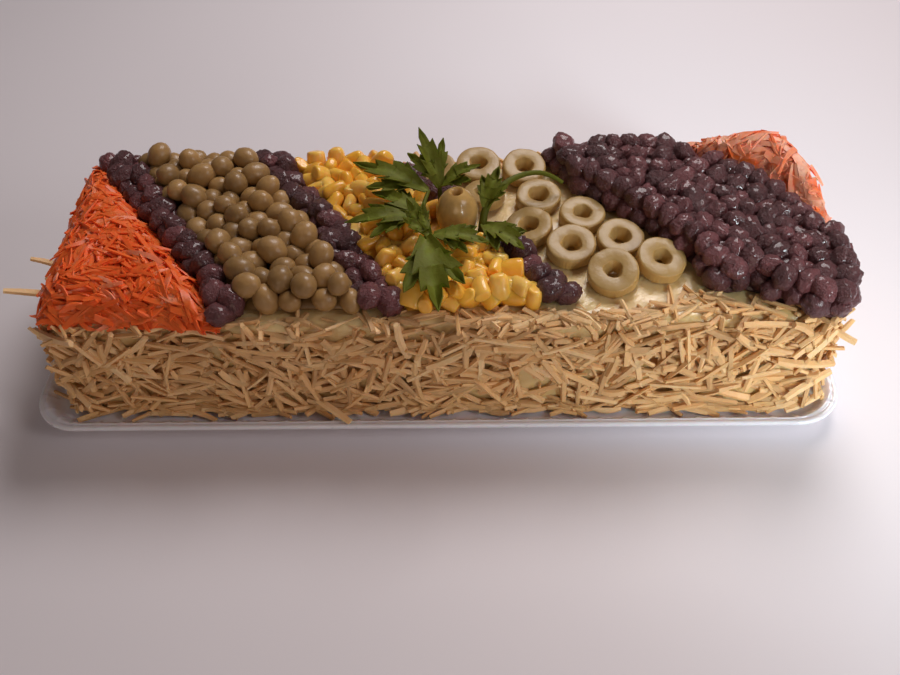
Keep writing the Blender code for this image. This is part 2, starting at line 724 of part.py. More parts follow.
def main():
    clear_scene()
    parts = new_collection("sandwich_cake")
    place(platter(), parts, finish("glazed china", CHINA, 0.15))
    place(cake(), parts, finish("mayonnaise and potato sticks", POTATO, 0.55))

    carrot = finish("grated carrot", CARROT, 0.50)
    place(carrot_heap("carrot_left", LEFT_END, CARROT_TO_RAISINS, 21), parts, carrot)
    place(carrot_heap("carrot_right", FIELD_TO_CARROT, RIGHT_END, 26), parts, carrot)

    raisin = finish("raisins", RAISIN, 0.40)
    rows = (
        ("raisins_left", CARROT_TO_RAISINS, RAISINS_TO_PEAS, RAISIN_ROW, 31, False),
        ("raisins_middle", PEAS_TO_RAISINS, RAISINS_TO_CORN, RAISIN_ROW, 32, False),
        ("raisins_centre", CORN_TO_RAISINS, RAISINS_TO_OLIVES, RAISIN_ROW, 33, True),
        ("raisins_right", OLIVES_TO_FIELD + FIELD_FRONT, FIELD_TO_CARROT, RAISIN_FIELD, 34, False),
    )
    for row in rows:
        place(heap(*row), parts, raisin)

    peas = heap("peas", RAISINS_TO_PEAS, PEAS_TO_RAISINS, PEA_BAND, 41)
    place(peas, parts, finish("peas", PEA, 0.35))
    corn = heap("corn", RAISINS_TO_CORN, CORN_TO_RAISINS, CORN_BAND, 51, clearing=True)
    place(corn, parts, finish("sweetcorn", CORN, 0.30))

    olive = finish("green olive", OLIVE, 0.30)
    for number, shape in enumerate(OLIVE_SLICES, start=1):
        place(olive_slice(number, *shape), parts, olive)
    place(whole_olive(), parts, finish("olive skin", WHOLE_OLIVE_SKIN, 0.25))

    leaf_green = finish("parsley", PARSLEY, 0.45)
    for name in SPRIGS:
        place(sprig(name), parts, leaf_green)


main()
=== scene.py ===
"""A cold sandwich cake on its platter: the fine shape and the finish of every piece.

The loaf, the potato sticks, the toppings, the olives, the parsley and the platter are each made
by an operator of their own, at their real size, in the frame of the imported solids. Units are
metres, X runs along the cake, Y to the back and Z up.
"""

import collections
import math
import random

import bmesh
import bpy
import numpy as np
from mathutils import Matrix, Vector, noise


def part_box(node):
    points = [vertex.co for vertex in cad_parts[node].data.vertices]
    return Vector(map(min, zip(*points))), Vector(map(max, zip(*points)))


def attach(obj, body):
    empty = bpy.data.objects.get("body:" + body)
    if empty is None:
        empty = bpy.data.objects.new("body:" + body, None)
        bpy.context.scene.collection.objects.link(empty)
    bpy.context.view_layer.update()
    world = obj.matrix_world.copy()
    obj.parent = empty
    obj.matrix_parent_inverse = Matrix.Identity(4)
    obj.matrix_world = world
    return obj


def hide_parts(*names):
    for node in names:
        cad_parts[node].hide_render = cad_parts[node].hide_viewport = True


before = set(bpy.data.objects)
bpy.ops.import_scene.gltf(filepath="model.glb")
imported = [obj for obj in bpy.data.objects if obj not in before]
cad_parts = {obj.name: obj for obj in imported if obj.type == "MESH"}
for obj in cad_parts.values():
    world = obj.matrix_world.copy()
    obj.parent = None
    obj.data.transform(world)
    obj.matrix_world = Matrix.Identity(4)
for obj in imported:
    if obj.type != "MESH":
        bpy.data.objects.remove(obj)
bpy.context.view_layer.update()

bl_info = {
    "name": "Sandwich cake",
    "version": (1, 0, 0),
    "blender": (4, 5, 0),
    "location": "View3D > Sidebar > Cake",
    "description": "Models a cold sandwich cake with its potato sticks, toppings and platter",
    "category": "Object",
}

# The solids' own faces: the loaf's top and foot, and the platter's rim.
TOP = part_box("cake")[1].z
LOAF_FOOT = 0.0053
PLATTER_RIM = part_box("platter")[1].z

# The mayonnaise's faces and the platter's outline, close to those of the solids.
LOAF_LENGTH = 0.2800
LOAF_WIDTH = 0.0885
LOAF_CORNER = 0.008
PLATTER_LENGTH = 0.304
PLATTER_WIDTH = 0.113
PLATTER_SHIFT = -0.0028
PLATTER_CORNER = 0.017
PLATTER_FLOOR = 0.005
RIM_WIDTH = 0.006

# The platter starts as an outline at this height. Its edges that are longer than the first number
# get the second number of cuts.
OUTLINE_HEIGHT = PLATTER_RIM - 0.0016
OUTLINE_CUTS = ((0.15, 90), (0.05, 26), (0.0015, 2))

# Rings drawn on from the outline, each so much further in and so much higher than the last: the
# double lip, the slope of the rim and the floor, then the underside and its foot.
UPPER_RINGS = ((0, 0.0010), (0.0003, 0.0004), (0.0006, 0.0002), (0.0006, -0.0003),
               (0.0005, -0.0002), (0.0004, 0.0003), (0.0005, -0.0002), (0.0009, -0.0012),
               (0.0009, -0.0010), (0.0008, -0.0008), (0.0008, -0.0004), (0.0014, -0.0002))
LOWER_RINGS = ((0.0008, -0.0010), (0.0100, 0.0020 - OUTLINE_HEIGHT), (0.0012, -0.0010))

# The slope of the rim, from its top down, and the height of the ribs on it.
SLOPE_HEIGHT = 0.0042
RIB_HEIGHT = 0.0009

# Swellings of mayonnaise over the front edge: the middle of each and half its run along X, then
# how far round the edge they reach and how far they stand out.
SWELLS = ((-0.0570, 0.0190), (-0.0290, 0.0080), (0.0480, 0.0140), (0.0830, 0.0200))
SWELL_WIDTH = 0.0060
SWELL_DEPTH = 0.0042

# Lines along which one topping meets the next, from the back of the cake to the front.
LEFT_END = ((-0.1415, 0.0425), (-0.1420, 0.0050), (-0.1420, -0.0380), (-0.1370, -0.0450))
CARROT_TO_RAISINS = ((-0.1385, 0.0440), (-0.1290, 0.0310), (-0.1150, 0.0120), (-0.0985, -0.0090),
                     (-0.0845, -0.0270), (-0.0760, -0.0465))
RAISINS_TO_PEAS = ((-0.1220, 0.0450), (-0.1080, 0.0220), (-0.0935, 0.0000), (-0.0790, -0.0195),
                   (-0.0672, -0.0402))
PEAS_TO_RAISINS = ((-0.0760, 0.0450), (-0.0625, 0.0230), (-0.0475, 0.0020), (-0.0345, -0.0210),
                   (-0.0248, -0.0402))
RAISINS_TO_CORN = ((-0.0620, 0.0450), (-0.0490, 0.0220), (-0.0340, 0.0010), (-0.0200, -0.0230),
                   (-0.0090, -0.0410))
CORN_TO_RAISINS = ((-0.0245, 0.0450), (-0.0060, 0.0200), (0.0155, -0.0020), (0.0290, -0.0200),
                   (0.0392, -0.0375))
RAISINS_TO_OLIVES = ((-0.0110, 0.0450), (-0.0095, 0.0300), (-0.0020, 0.0240), (0.0090, 0.0170),
                     (0.0250, -0.0020), (0.0400, -0.0200), (0.0530, -0.0370))
OLIVES_TO_FIELD = ((0.0430, 0.0450), (0.0500, 0.0250), (0.0630, 0.0150), (0.0765, 0.0010),
                   (0.0925, -0.0190), (0.0975, -0.0320))
FIELD_FRONT = ((0.1050, -0.0350), (0.1120, -0.0310), (0.1180, -0.0400), (0.1260, -0.0410),
               (0.1300, -0.0460), (0.1420, -0.0475), (0.1465, -0.0380), (0.1475, -0.0150),
               (0.1445, -0.0080))
FIELD_TO_CARROT = ((0.0870, 0.0455), (0.1080, 0.0325), (0.1235, 0.0195), (0.1340, 0.0070),
                   (0.1405, -0.0070))
RIGHT_END = ((0.1300, 0.0450), (0.1385, 0.0390), (0.1435, 0.0240), (0.1450, 0.0060),
             (0.1440, -0.0060))

# The clearing that the whole olive stands in: x, y and radius.
CLEARING = (0.0065, -0.0020, 0.0128)

# Olive slices: x, y, outer radius, and the way each leans, as turns about X and Y in degrees.
OLIVE_SLICES = (
    (-0.0010, 0.0345, 0.0082, 12, -6),
    (0.0158, 0.0375, 0.0088, 10, 2),
    (0.0338, 0.0350, 0.0086, 12, 5),
    (0.0180, 0.0200, 0.0082, -4, -5),
    (0.0390, 0.0178, 0.0085, 5, 3),
    (0.0550, 0.0070, 0.0086, 3, 4),
    (0.0350, 0.0000, 0.0088, 7, -6),
    (0.0680, -0.0070, 0.0088, 6, 3),
    (0.0500, -0.0110, 0.0089, 9, 2),
    (0.0640, -0.0258, 0.0091, 14, -3),
    (0.0815, -0.0195, 0.0091, 10, 8),
)
SLICE_THICKNESS = 0.0050

# The whole olive: its radius and height, and where it stands.
WHOLE_OLIVE = (0.0079, 0.0218)
OLIVE_PLACE = (0.0085, 0.0005)

# A heap: how many pieces, their least and greatest radius, how close they lie (1 just touches),
# how high their tops come, its bed's height and how far in the bed reaches it.
Heap = collections.namedtuple("Heap", "count radii closeness height bed slope")
PEAS = Heap(80, (0.0041, 0.0050), 0.95, 0.0148, 0.0030, 0.008)
CORN = Heap(112, (0.0037, 0.0044), 0.86, 0.0105, 0.0014, 0.006)
FIELD = Heap(168, (0.0042, 0.0052), 0.82, 0.0150, 0.0045, 0.012)
LEFT_ROW = Heap(36, (0.0044, 0.0055), 0.78, 0.0110, 0.0, 0.005)
MIDDLE_ROW = Heap(29, (0.0044, 0.0055), 0.78, 0.0110, 0.0, 0.005)
CENTRE_ROW = Heap(16, (0.0044, 0.0055), 0.78, 0.0105, 0.0, 0.005)

# How a heap settles: the number of steps, how far its pieces sink in each, the share of an overlap
# that each clears, and how much lower the ceiling comes in each, over a share of the steps.
SETTLING_STEPS = 300
SINK = 0.00015
PUSH = 0.4
PRESS = 0.0001
PRESSING_SHARE = 0.6

# How far the middles of the pieces keep in from the heap's edge, from the clearing and above the
# bed, in radii, and how much further in they keep for each metre that they lie higher.
EDGE_ROOM = 0.60
CLEARING_ROOM = 0.6
BED_ROOM = 0.70
HEAP_LEAN = 0.30

# A bed's faces across and along, and how far its sides keep in from its two lines.
BED_FACES = (12, 26)
BED_INSET = 0.0015

# Grated carrot: how far in a mound reaches its height, its layers of shreds, how much higher each
# layer lies than the last, and how far a shred may droop past the edge.
SHREDS_REACH = 0.0120
SHRED_LAYERS = 5
LAYER_RISE = 0.00050
SHREDS_OVERHANG = 0.0020

# Potato sticks: half of a middle stick, the spread of their lean in degrees, and how many lie on
# the front, the right end, the back and the left end, over the top's edge, and along the foot at
# the front, at the back and at the two ends.
HALF_STICK = 0.0092
STICK_LEAN = 48
SIDE_STICKS = (700, 215, 560, 215)
RIM_STICKS = 250
FALLEN_STICKS = (150, 30, 50)

# The few sticks that stand out past the coat, each from its root to its tip.
STRAY_STICKS = (
    ((-0.1380, -0.0215, 0.0450), (-0.1590, -0.0250, 0.0515)),
    ((-0.1380, -0.0095, 0.0465), (-0.1535, -0.0080, 0.0520)),
    ((0.1370, -0.0400, 0.0440), (0.1475, -0.0460, 0.0400)),
    ((0.1370, -0.0300, 0.0430), (0.1480, -0.0310, 0.0370)),
    ((-0.0500, -0.0440, 0.0150), (-0.0320, -0.0555, 0.0105)),
)

# Parsley sprigs: the stalk's route, its radius, and each leaf's base, tip, width and bow.
SPRIGS = {
    "parsley_left": (
        ((-0.0010, -0.0080, 0.0532), (-0.0030, -0.0075, 0.0600), (-0.0042, -0.0050, 0.0665),
         (-0.0036, 0.0010, 0.0680), (-0.0020, 0.0070, 0.0685)), 0.0009,
        (((-0.0022, 0.0060, 0.0685), (-0.0285, 0.0205, 0.0690), 0.012, 0.0030),
         ((-0.0040, -0.0050, 0.0665), (-0.0215, 0.0065, 0.0670), 0.009, 0.0025),
         ((-0.0042, -0.0060, 0.0662), (-0.0295, -0.0085, 0.0665), 0.011, 0.0025)),
    ),
    "parsley_front": (
        ((0.0030, -0.0115, 0.0532), (0.0015, -0.0125, 0.0600), (-0.0010, -0.0150, 0.0655),
         (-0.0025, -0.0185, 0.0680)), 0.0009,
        (((-0.0022, -0.0175, 0.0678), (0.0025, -0.0460, 0.0610), 0.015, 0.0025),
         ((0.0000, -0.0142, 0.0652), (0.0185, -0.0185, 0.0650), 0.010, 0.0020),
         ((-0.0009, -0.0147, 0.0650), (-0.0085, -0.0085, 0.0760), 0.008, -0.0020)),
    ),
    "parsley_back": (
        ((0.0030, 0.0080, 0.0532), (0.0015, 0.0100, 0.0610), (0.0018, 0.0125, 0.0670)), 0.0009,
        (((0.0018, 0.0115, 0.0660), (-0.0050, 0.0215, 0.0840), 0.010, 0.0015),
         ((0.0020, 0.0120, 0.0660), (0.0160, 0.0150, 0.0725), 0.009, 0.0020)),
    ),
    "parsley_right": (
        ((0.0165, -0.0060, 0.0532), (0.0175, -0.0050, 0.0600), (0.0190, 0.0000, 0.0670),
         (0.0260, 0.0080, 0.0710), (0.0350, 0.0150, 0.0700), (0.0430, 0.0190, 0.0660),
         (0.0480, 0.0190, 0.0615)), 0.0011,
        (((0.0178, -0.0045, 0.0612), (0.0315, -0.0190, 0.0625), 0.011, 0.0020),
         ((0.0188, -0.0010, 0.0660), (0.0240, 0.0100, 0.0745), 0.009, 0.0015)),
    ),
}

# The camera, where the photograph was taken from.
CAMERA_PLACE = (0.0250, -0.3027, 0.3194)
CAMERA_LENS = 42.76
CAMERA_PITCH = 46.785
CAMERA_YAW = -4.199
CAMERA_ROLL = -3.787

# Round area lights: name, place, what they face, diameter, power and colour.
AREA_LIGHTS = (
    ("key light", (0.19, 0.38, 0.60), (0.02, 0, 0.03), 0.36, 3.3, (1.0, 0.95, 0.94)),
    ("front light", (-0.05, -0.90, 0.30), (0, 0, 0.03), 0.50, 0.92, (1.0, 0.79, 0.60)),
    ("side light", (0.52, -0.26, 0.42), (0.15, 0, 0.03), 0.30, 0.9, (1.0, 0.94, 0.95)),
)

# Spot lights: name, place, what they face, the cone's angle in degrees, power and colour.
SPOT_LIGHTS = (
    ("right light", (0.46, -0.54, 0.34), (0.200, -0.045, 0.015), 24, 17.0, (0.82, 0.96, 1.0)),
    ("low light", (0.46, -0.62, 0.14), (0.120, -0.045, 0.028), 16, 7.0, (0.90, 0.97, 1.0)),
)
SPOT_RADIUS = 0.08
ROOM_COLOUR = (1.0, 0.84, 0.82, 1)
ROOM_STRENGTH = 0.10


def linear(code):
    """The linear colour of an sRGB hex code."""
    shares = [int(code[place:place + 2], 16) / 255 for place in (0, 2, 4)]
    return [s / 12.92 if s <= 0.04045 else ((s + 0.055) / 1.055) ** 2.4 for s in shares]


def colour_property(name, description, code):
    return bpy.props.FloatVectorProperty(name=name, description=description, subtype="COLOR",
                                         size=3, min=0.0, max=1.0, default=linear(code))


def length_property(name, description, default):
    return bpy.props.FloatProperty(name=name, description=description, default=default,
                                   min=0.0, unit="LENGTH")


class CakeSizes(bpy.types.PropertyGroup):
    """The sizes of the pieces that are laid on the cake."""

    stick_thickness: length_property("Stick thickness", "Section of a potato stick", 0.0019)
    stick_length: length_property("Stick length", "Middle length of a potato stick", 0.0185)
    shred_width: length_property("Shred width", "Width of a carrot shred", 0.0018)
    shred_length: length_property("Shred length", "Middle length of a carrot shred", 0.0215)
    leaf_thickness: length_property("Leaf thickness", "Thickness of a parsley leaf", 0.0004)
    rib_pitch: length_property("Rib pitch", "From one rib of the platter's rim to the next", 0.0090)


class CakeColours(bpy.types.PropertyGroup):
    """The colours of the foods and of the platter."""

    mayonnaise: colour_property("Mayonnaise", "Spread over the loaf", "E6C88E")
    potato: colour_property("Potato", "Fried potato sticks", "EEBE84")
    carrot: colour_property("Carrot", "Grated raw carrot", "FF6E30")
    raisin: colour_property("Raisin", "Soaked black raisins", "623638")
    pea: colour_property("Pea", "Tinned peas", "A27E4E")
    corn: colour_property("Sweetcorn", "Tinned sweetcorn", "FFBC42")
    olive: colour_property("Olive", "Flesh of a green olive", "A68650")
    olive_skin: colour_property("Olive skin", "Skin of the whole olive", "BE985A")
    parsley: colour_property("Parsley", "Flat-leaved parsley", "5F6212")
    china: colour_property("China", "Glaze of the platter", "F0F0F8")
    table: colour_property("Table", "The pale floor", "E8E2E6")


# Shared steps of modelling.

def pick(*objects):
    """Selects these objects alone and makes the first one active."""
    bpy.ops.object.select_all(action="DESELECT")
    for obj in objects:
        obj.select_set(True)
    bpy.context.view_layer.objects.active = objects[0]


def modify(obj, kind, **settings):
    """Adds a modifier with its settings and applies it."""
    pick(obj)
    modifier = obj.modifiers.new(kind.title(), kind)
    for key, value in settings.items():
        setattr(modifier, key, value)
    bpy.ops.object.modifier_apply(modifier=modifier.name)


def roughen(obj, size, height):
    """Moves the surface in and out by half of height, in lumps of a given size."""
    grain = bpy.data.textures.new(obj.name + " lumps", "CLOUDS")
    grain.noise_scale = size
    modify(obj, "DISPLACE", texture=grain, texture_coords="GLOBAL", strength=height, mid_level=0.5)
    bpy.data.textures.remove(grain)


def settle_place(obj):
    """Moves an object's place into its mesh, so that the object stands at the origin."""
    pick(obj)
    bpy.ops.object.transform_apply(location=True, rotation=True, scale=True)


def choose(obj, kind, test):
    """Selects the faces, edges or vertices that pass a test, in edit mode."""
    bpy.ops.mesh.select_mode(type=kind)
    bpy.ops.mesh.select_all(action="DESELECT")
    mesh = bmesh.from_edit_mesh(obj.data)
    for item in {"FACE": mesh.faces, "EDGE": mesh.edges, "VERT": mesh.verts}[kind]:
        if test(item):
            item.select_set(True)
    mesh.select_flush_mode()
    bmesh.update_edit_mesh(obj.data)


def smooth(obj, sharp=None):
    """Shades an object smooth, and keeps edges sharper than an angle in degrees, if it is given."""
    pick(obj)
    if sharp is None:
        bpy.ops.object.shade_smooth()
    else:
        bpy.ops.object.shade_smooth_by_angle(angle=math.radians(sharp))


def joined(name, copies):
    """One object out of many, under its own name."""
    pick(*copies)
    bpy.ops.object.join()
    piece = bpy.context.view_layer.objects.active
    piece.name = name
    piece.data.name = name
    return piece


def tint(mesh, tone):
    """Gives all the points of a mesh one tone from 0 to 1, which the materials read."""
    shade = mesh.attributes.new("tone", "FLOAT", "POINT")
    shade.data.foreach_set("value", [tone] * len(mesh.vertices))


def copies_of(models, places):
    """Copies of models, each with its own mesh, at (matrix, tone) places."""
    scene = bpy.context.scene.collection
    copies = []
    for number, (matrix, tone) in enumerate(places):
        mesh = models[number % len(models)].data.copy()
        mesh.transform(matrix)
        tint(mesh, tone)
        copy = bpy.data.objects.new(models[0].name + " copy", mesh)
        scene.objects.link(copy)
        copies.append(copy)
    return copies


def discard(objects):
    """Deletes models that have been copied."""
    for obj in objects:
        bpy.data.objects.remove(obj, do_unlink=True)


def finished(piece, material, slot, *nodes):
    """Gives a piece its one material and its body, and hides what it stands for. Its slot is not used."""
    piece.data.materials.clear()
    piece.data.materials.append(material)
    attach(piece, "root")
    if nodes:
        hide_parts(*nodes)


def rod(name, length, width, thickness, taper, bend, twist, sides=4, stations=5):
    """A strip drawn out along X by extruding a flat section, with thinner ends, then bent."""
    bpy.ops.mesh.primitive_circle_add(vertices=sides, radius=0.6, fill_type="NGON")
    strip = bpy.context.object
    strip.name = name
    strip.data.transform(Matrix.Translation((-length / 2, 0, 0))
                         @ Matrix.Diagonal((1, width, thickness, 1))
                         @ Matrix.Rotation(math.pi / 2, 4, "Y")
                         @ Matrix.Rotation(math.pi / 4, 4, "Z"))
    pick(strip)
    bpy.ops.object.mode_set(mode="EDIT")
    bpy.ops.mesh.select_all(action="SELECT")
    step = length / stations
    girth = []
    for station in range(stations + 1):
        fullness = math.sin(math.pi * (0.12 + 0.76 * station / stations))
        girth.append(taper + (1 - taper) * fullness)
    bpy.ops.transform.resize(value=(1, girth[0], girth[0]), center_override=(-length / 2, 0, 0))
    for station in range(stations):
        x = -length / 2 + (station + 1) * step
        growth = girth[station + 1] / girth[station]
        bpy.ops.mesh.extrude_region_move(TRANSFORM_OT_translate={"value": (step, 0, 0)})
        bpy.ops.transform.resize(value=(1, growth, growth), center_override=(x, 0, 0))
    bpy.ops.mesh.select_all(action="SELECT")
    bpy.ops.mesh.normals_make_consistent(inside=False)
    bpy.ops.object.mode_set(mode="OBJECT")
    for method, axis, angle in (("TWIST", "X", twist), ("BEND", "Z", bend)):
        modify(strip, "SIMPLE_DEFORM", deform_method=method, deform_axis=axis,
               angle=math.radians(angle))
    centre = sum((v.co for v in strip.data.vertices), Vector()) / len(strip.data.vertices)
    strip.data.transform(Matrix.Translation(-centre))
    return strip


def ball(name, number, subdivisions, scale, lumps):
    """A lumpy ball of radius 1 at the origin. Its number picks the part of the pattern of lumps,
    which are given as (size, height)."""
    bpy.ops.mesh.primitive_ico_sphere_add(subdivisions=subdivisions, radius=1.0,
                                          location=(number * 3.0, 0, 0))
    made = bpy.context.object
    made.name = name
    made.scale = scale
    for size, height in lumps:
        roughen(made, size, height)
    made.location = (0, 0, 0)
    return made


def turned(about_z, about_y, about_x):
    """A turn about X, then about Y, then about Z."""
    return (Matrix.Rotation(about_z, 4, "Z") @ Matrix.Rotation(about_y, 4, "Y")
            @ Matrix.Rotation(about_x, 4, "X"))


def placed(spot, turn, stretch, thick=1):
    """The matrix that makes a rod so many times as long and as thick, turns it and moves it."""
    return Matrix.Translation(spot) @ turn @ Matrix.Diagonal((stretch, thick, thick, 1))


# Where the pieces of a heap lie.

def between(left, right):
    """The outline of the topping between two lines that both run from back to front."""
    return np.array(list(left) + list(reversed(right)))


def edge_near(outline, spots):
    """How deep each spot lies inside an outline, negative outside it, and its way inward."""
    ends = np.roll(outline, -1, axis=0)
    along = ends - outline
    offset = spots[:, None] - outline[None]
    share = np.clip((offset * along).sum(2) / (along ** 2).sum(1), 0, 1)
    offset = offset - share[..., None] * along
    gaps = np.linalg.norm(offset, axis=2)
    nearest = gaps.argmin(1)
    rows = np.arange(len(spots))
    x, y = spots[:, :1], spots[:, 1:2]
    crossed = (outline[:, 1] > y) != (ends[:, 1] > y)
    slope = np.where(along[:, 1] == 0, 1e-12, along[:, 1])
    meets = outline[:, 0] + (y - outline[:, 1]) * along[:, 0] / slope
    side = np.where((crossed & (x < meets)).sum(1) % 2 == 1, 1.0, -1.0)
    gap = gaps[rows, nearest]
    inward = offset[rows, nearest] / np.maximum(gap, 1e-9)[:, None] * side[:, None]
    return gap * side, inward


def rise(depth, height, slope):
    """How high a heap's bed stands at a distance in from its edge."""
    return height * np.sin(math.pi / 2 * np.clip(depth / slope, 0, 1))


def settle(outline, heap, seed):
    """Where a heap's pieces come to rest on its bed, and their radii. They sink, push each other
    apart and keep in from the heap's edge, further in the higher they lie, and the highest are
    pressed down to the heap's height."""
    draw = np.random.default_rng(seed)
    radii = draw.uniform(*heap.radii, heap.count)
    spots = np.empty((0, 2))
    while len(spots) < heap.count:
        tried = draw.uniform(outline.min(0), outline.max(0), (heap.count, 2))
        spots = np.vstack((spots, tried[edge_near(outline, tried)[0] > 0.002]))
    spots = spots[:heap.count]
    spots = np.column_stack((spots, TOP + draw.uniform(0.012, 0.026, heap.count)))
    reach = heap.closeness * (radii[:, None] + radii[None])
    np.fill_diagonal(reach, 0)
    middle = np.array(CLEARING[:2])
    for step in range(SETTLING_STEPS):
        spots[:, 2] -= SINK
        apart = spots[:, None] - spots[None]
        gap = np.linalg.norm(apart, axis=2) + np.eye(heap.count)
        overlap = np.clip(reach - gap, 0, None)
        spots += PUSH * (apart * (overlap / gap)[..., None]).sum(1)
        depth, inward = edge_near(outline, spots[:, :2])
        lift = np.clip(spots[:, 2] - TOP - radii, 0, None)
        short = np.clip(EDGE_ROOM * radii + HEAP_LEAN * lift - depth, 0, None)
        spots[:, :2] += inward * short[:, None]
        away = spots[:, :2] - middle
        far = np.linalg.norm(away, axis=1)
        short = np.clip(CLEARING[2] + CLEARING_ROOM * radii - far, 0, None)
        spots[:, :2] += away / far[:, None] * short[:, None]
        pressing = max(0, PRESSING_SHARE * SETTLING_STEPS - step)
        ceiling = TOP + heap.height - radii + PRESS * pressing
        floor = TOP + rise(depth, heap.bed, heap.slope) + BED_ROOM * radii
        spots[:, 2] = np.maximum(np.minimum(spots[:, 2], ceiling), floor)
    return spots, radii


def any_turn(draw):
    """A turn that favours no direction."""
    turn = Matrix.Rotation(draw.uniform(0, math.tau), 4, "Z")
    turn = turn @ Matrix.Rotation(math.acos(draw.uniform(-1, 1)), 4, "X")
    return turn @ Matrix.Rotation(draw.uniform(0, math.tau), 4, "Z")


def along_line(line, share):
    """The point at a share of a line's length."""
    left = share * sum(math.dist(a, b) for a, b in zip(line, line[1:]))
    for a, b in zip(line, line[1:]):
        length = math.dist(a, b)
        if left <= length:
            return Vector(a).lerp(Vector(b), left / length)
        left -= length
    return Vector(line[-1])


def bed(name, left, right, height, slope, tone=0.1):
    """The low mound under a heap's pieces: a grid laid between its two lines and raised, in its heap's
    lowest tone, which is painted shade under the pieces.
    """
    columns, rows = BED_FACES
    bpy.ops.mesh.primitive_grid_add(x_subdivisions=columns, y_subdivisions=rows, size=1)
    mound = bpy.context.object
    mound.name = name
    outline = between(left, right)
    for vert in mound.data.vertices:
        share = 0.02 + 0.96 * (0.5 - vert.co.y)
        start, end = along_line(left, share), along_line(right, share)
        pull = min(0.3, BED_INSET / (end - start).length)
        spot = start.lerp(end, pull + (1 - 2 * pull) * (vert.co.x + 0.5))
        depth = edge_near(outline, np.array([spot]))[0]
        vert.co = (*spot, TOP + float(rise(depth, height, slope)[0]))
    modify(mound, "SOLIDIFY", thickness=0.0012, offset=-1.0)
    roughen(mound, 0.004, 0.0010)
    # One tone for the whole bed, the heap's lowest: painted shade under and between the pieces.
    tint(mound.data, tone)
    return mound


# Shared steps of finishing.

def add_node(tree, kind, settings=(), inputs=()):
    """Adds a node with its settings, and gives each input a value or another node's output."""
    node = tree.nodes.new(kind)
    for key, value in dict(settings).items():
        setattr(node, key, value)
    for key, value in dict(inputs).items():
        if isinstance(value, bpy.types.NodeSocket):
            tree.links.new(value, node.inputs[key])
        else:
            node.inputs[key].default_value = value
    return node


def new_finish(name, **settings):
    """A material and its shader, with constants on the shader's own sockets."""
    material = bpy.data.materials.new(name)
    material.use_nodes = True
    shader = material.node_tree.nodes["Principled BSDF"]
    for key, value in settings.items():
        shader.inputs[key.replace("_", " ")].default_value = value
    return material, material.node_tree, shader


def spots_of(tree, size, detail=3.0, coarse=0.55):
    """Noise in patches of a real size, read where the piece lies."""
    place = add_node(tree, "ShaderNodeTexCoord")
    patches = add_node(tree, "ShaderNodeTexNoise", inputs={
        "Vector": place.outputs["Object"], "Scale": 1 / size, "Detail": detail, "Roughness": coarse})
    return patches.outputs["Fac"]


def toned(tree, share, size, detail=3.0):
    """Patches of a real size, mixed with a share of the tone that each copied piece carries."""
    tone = add_node(tree, "ShaderNodeAttribute", {"attribute_name": "tone"})
    blend = add_node(tree, "ShaderNodeMix", {"data_type": "FLOAT"},
                     {0: share, 2: spots_of(tree, size, detail), 3: tone.outputs["Fac"]})
    return blend.outputs[0]


def coloured(tree, shader, fac, *stops):
    """Colours the shader by a ramp through (position, colour) stops."""
    ramp = add_node(tree, "ShaderNodeValToRGB", inputs={"Fac": fac})
    elements = ramp.color_ramp.elements
    while len(elements) < len(stops):
        elements.new(0.5)
    for element, (position, colour) in zip(elements, stops):
        element.position = position
        element.color = (*colour, 1.0)
    tree.links.new(ramp.outputs["Color"], shader.inputs["Base Color"])


def tinted(colour, factor, towards=(0.0, 0.0, 0.0), share=0.0):
    """A colour made darker or lighter, and drawn towards another."""
    return [min(1.0, (c * factor) * (1 - share) + t * share) for c, t in zip(colour, towards)]


def grained(tree, shader, depth, size, detail=3.0, coarse=0.55):
    """Raises a fine grain of a real depth and size on the surface."""
    raised = add_node(tree, "ShaderNodeBump", inputs={
        "Height": spots_of(tree, size, detail, coarse), "Distance": depth, "Strength": 1.0})
    tree.links.new(raised.outputs["Normal"], shader.inputs["Normal"])


def glazed_china(colours):
    """White glazed china: fired glaze gives a hard clear gloss over a cool white body."""
    material, tree, shader = new_finish(
        "Glazed china", Roughness=0.12, IOR=1.52, Coat_Weight=0.4, Coat_Roughness=0.05,
        Subsurface_Weight=0.15, Subsurface_Scale=0.002)
    base = colours.china
    coloured(tree, shader, spots_of(tree, 0.030), (0.35, tinted(base, 0.93)), (0.65, base))
    grained(tree, shader, 0.00008, 0.006)
    return material


def mayonnaise(colours):
    """Mayonnaise spread with a knife: dense, pale and fatty, with a soft wet shine."""
    material, tree, shader = new_finish(
        "Spread mayonnaise", Roughness=0.28, IOR=1.45, Coat_Weight=0.25, Coat_Roughness=0.12,
        Subsurface_Weight=0.5, Subsurface_Scale=0.004, Subsurface_Radius=(1.0, 0.8, 0.45))
    base = colours.mayonnaise
    coloured(tree, shader, spots_of(tree, 0.014), (0.30, tinted(base, 0.86)), (0.70, base))
    grained(tree, shader, 0.0006, 0.0035, 4.0)
    return material


def fried_potato(colours):
    """Potato sticks fried crisp: dry blistered starch, golden, with browner edges on some."""
    material, tree, shader = new_finish(
        "Fried potato", Roughness=0.48, IOR=1.46,
        Subsurface_Weight=0.25, Subsurface_Scale=0.0015, Subsurface_Radius=(1.0, 0.6, 0.3))
    base = colours.potato
    coloured(tree, shader, toned(tree, 0.6, 0.004, 4.0),
             (0.10, tinted(base, 0.58, (0.30, 0.10, 0.02), 0.12)), (0.38, tinted(base, 0.88)),
             (0.62, base), (0.90, tinted(base, 1.12, (0.9, 0.8, 0.55), 0.35)))
    grained(tree, shader, 0.00025, 0.0009, 4.0, 0.6)
    return material


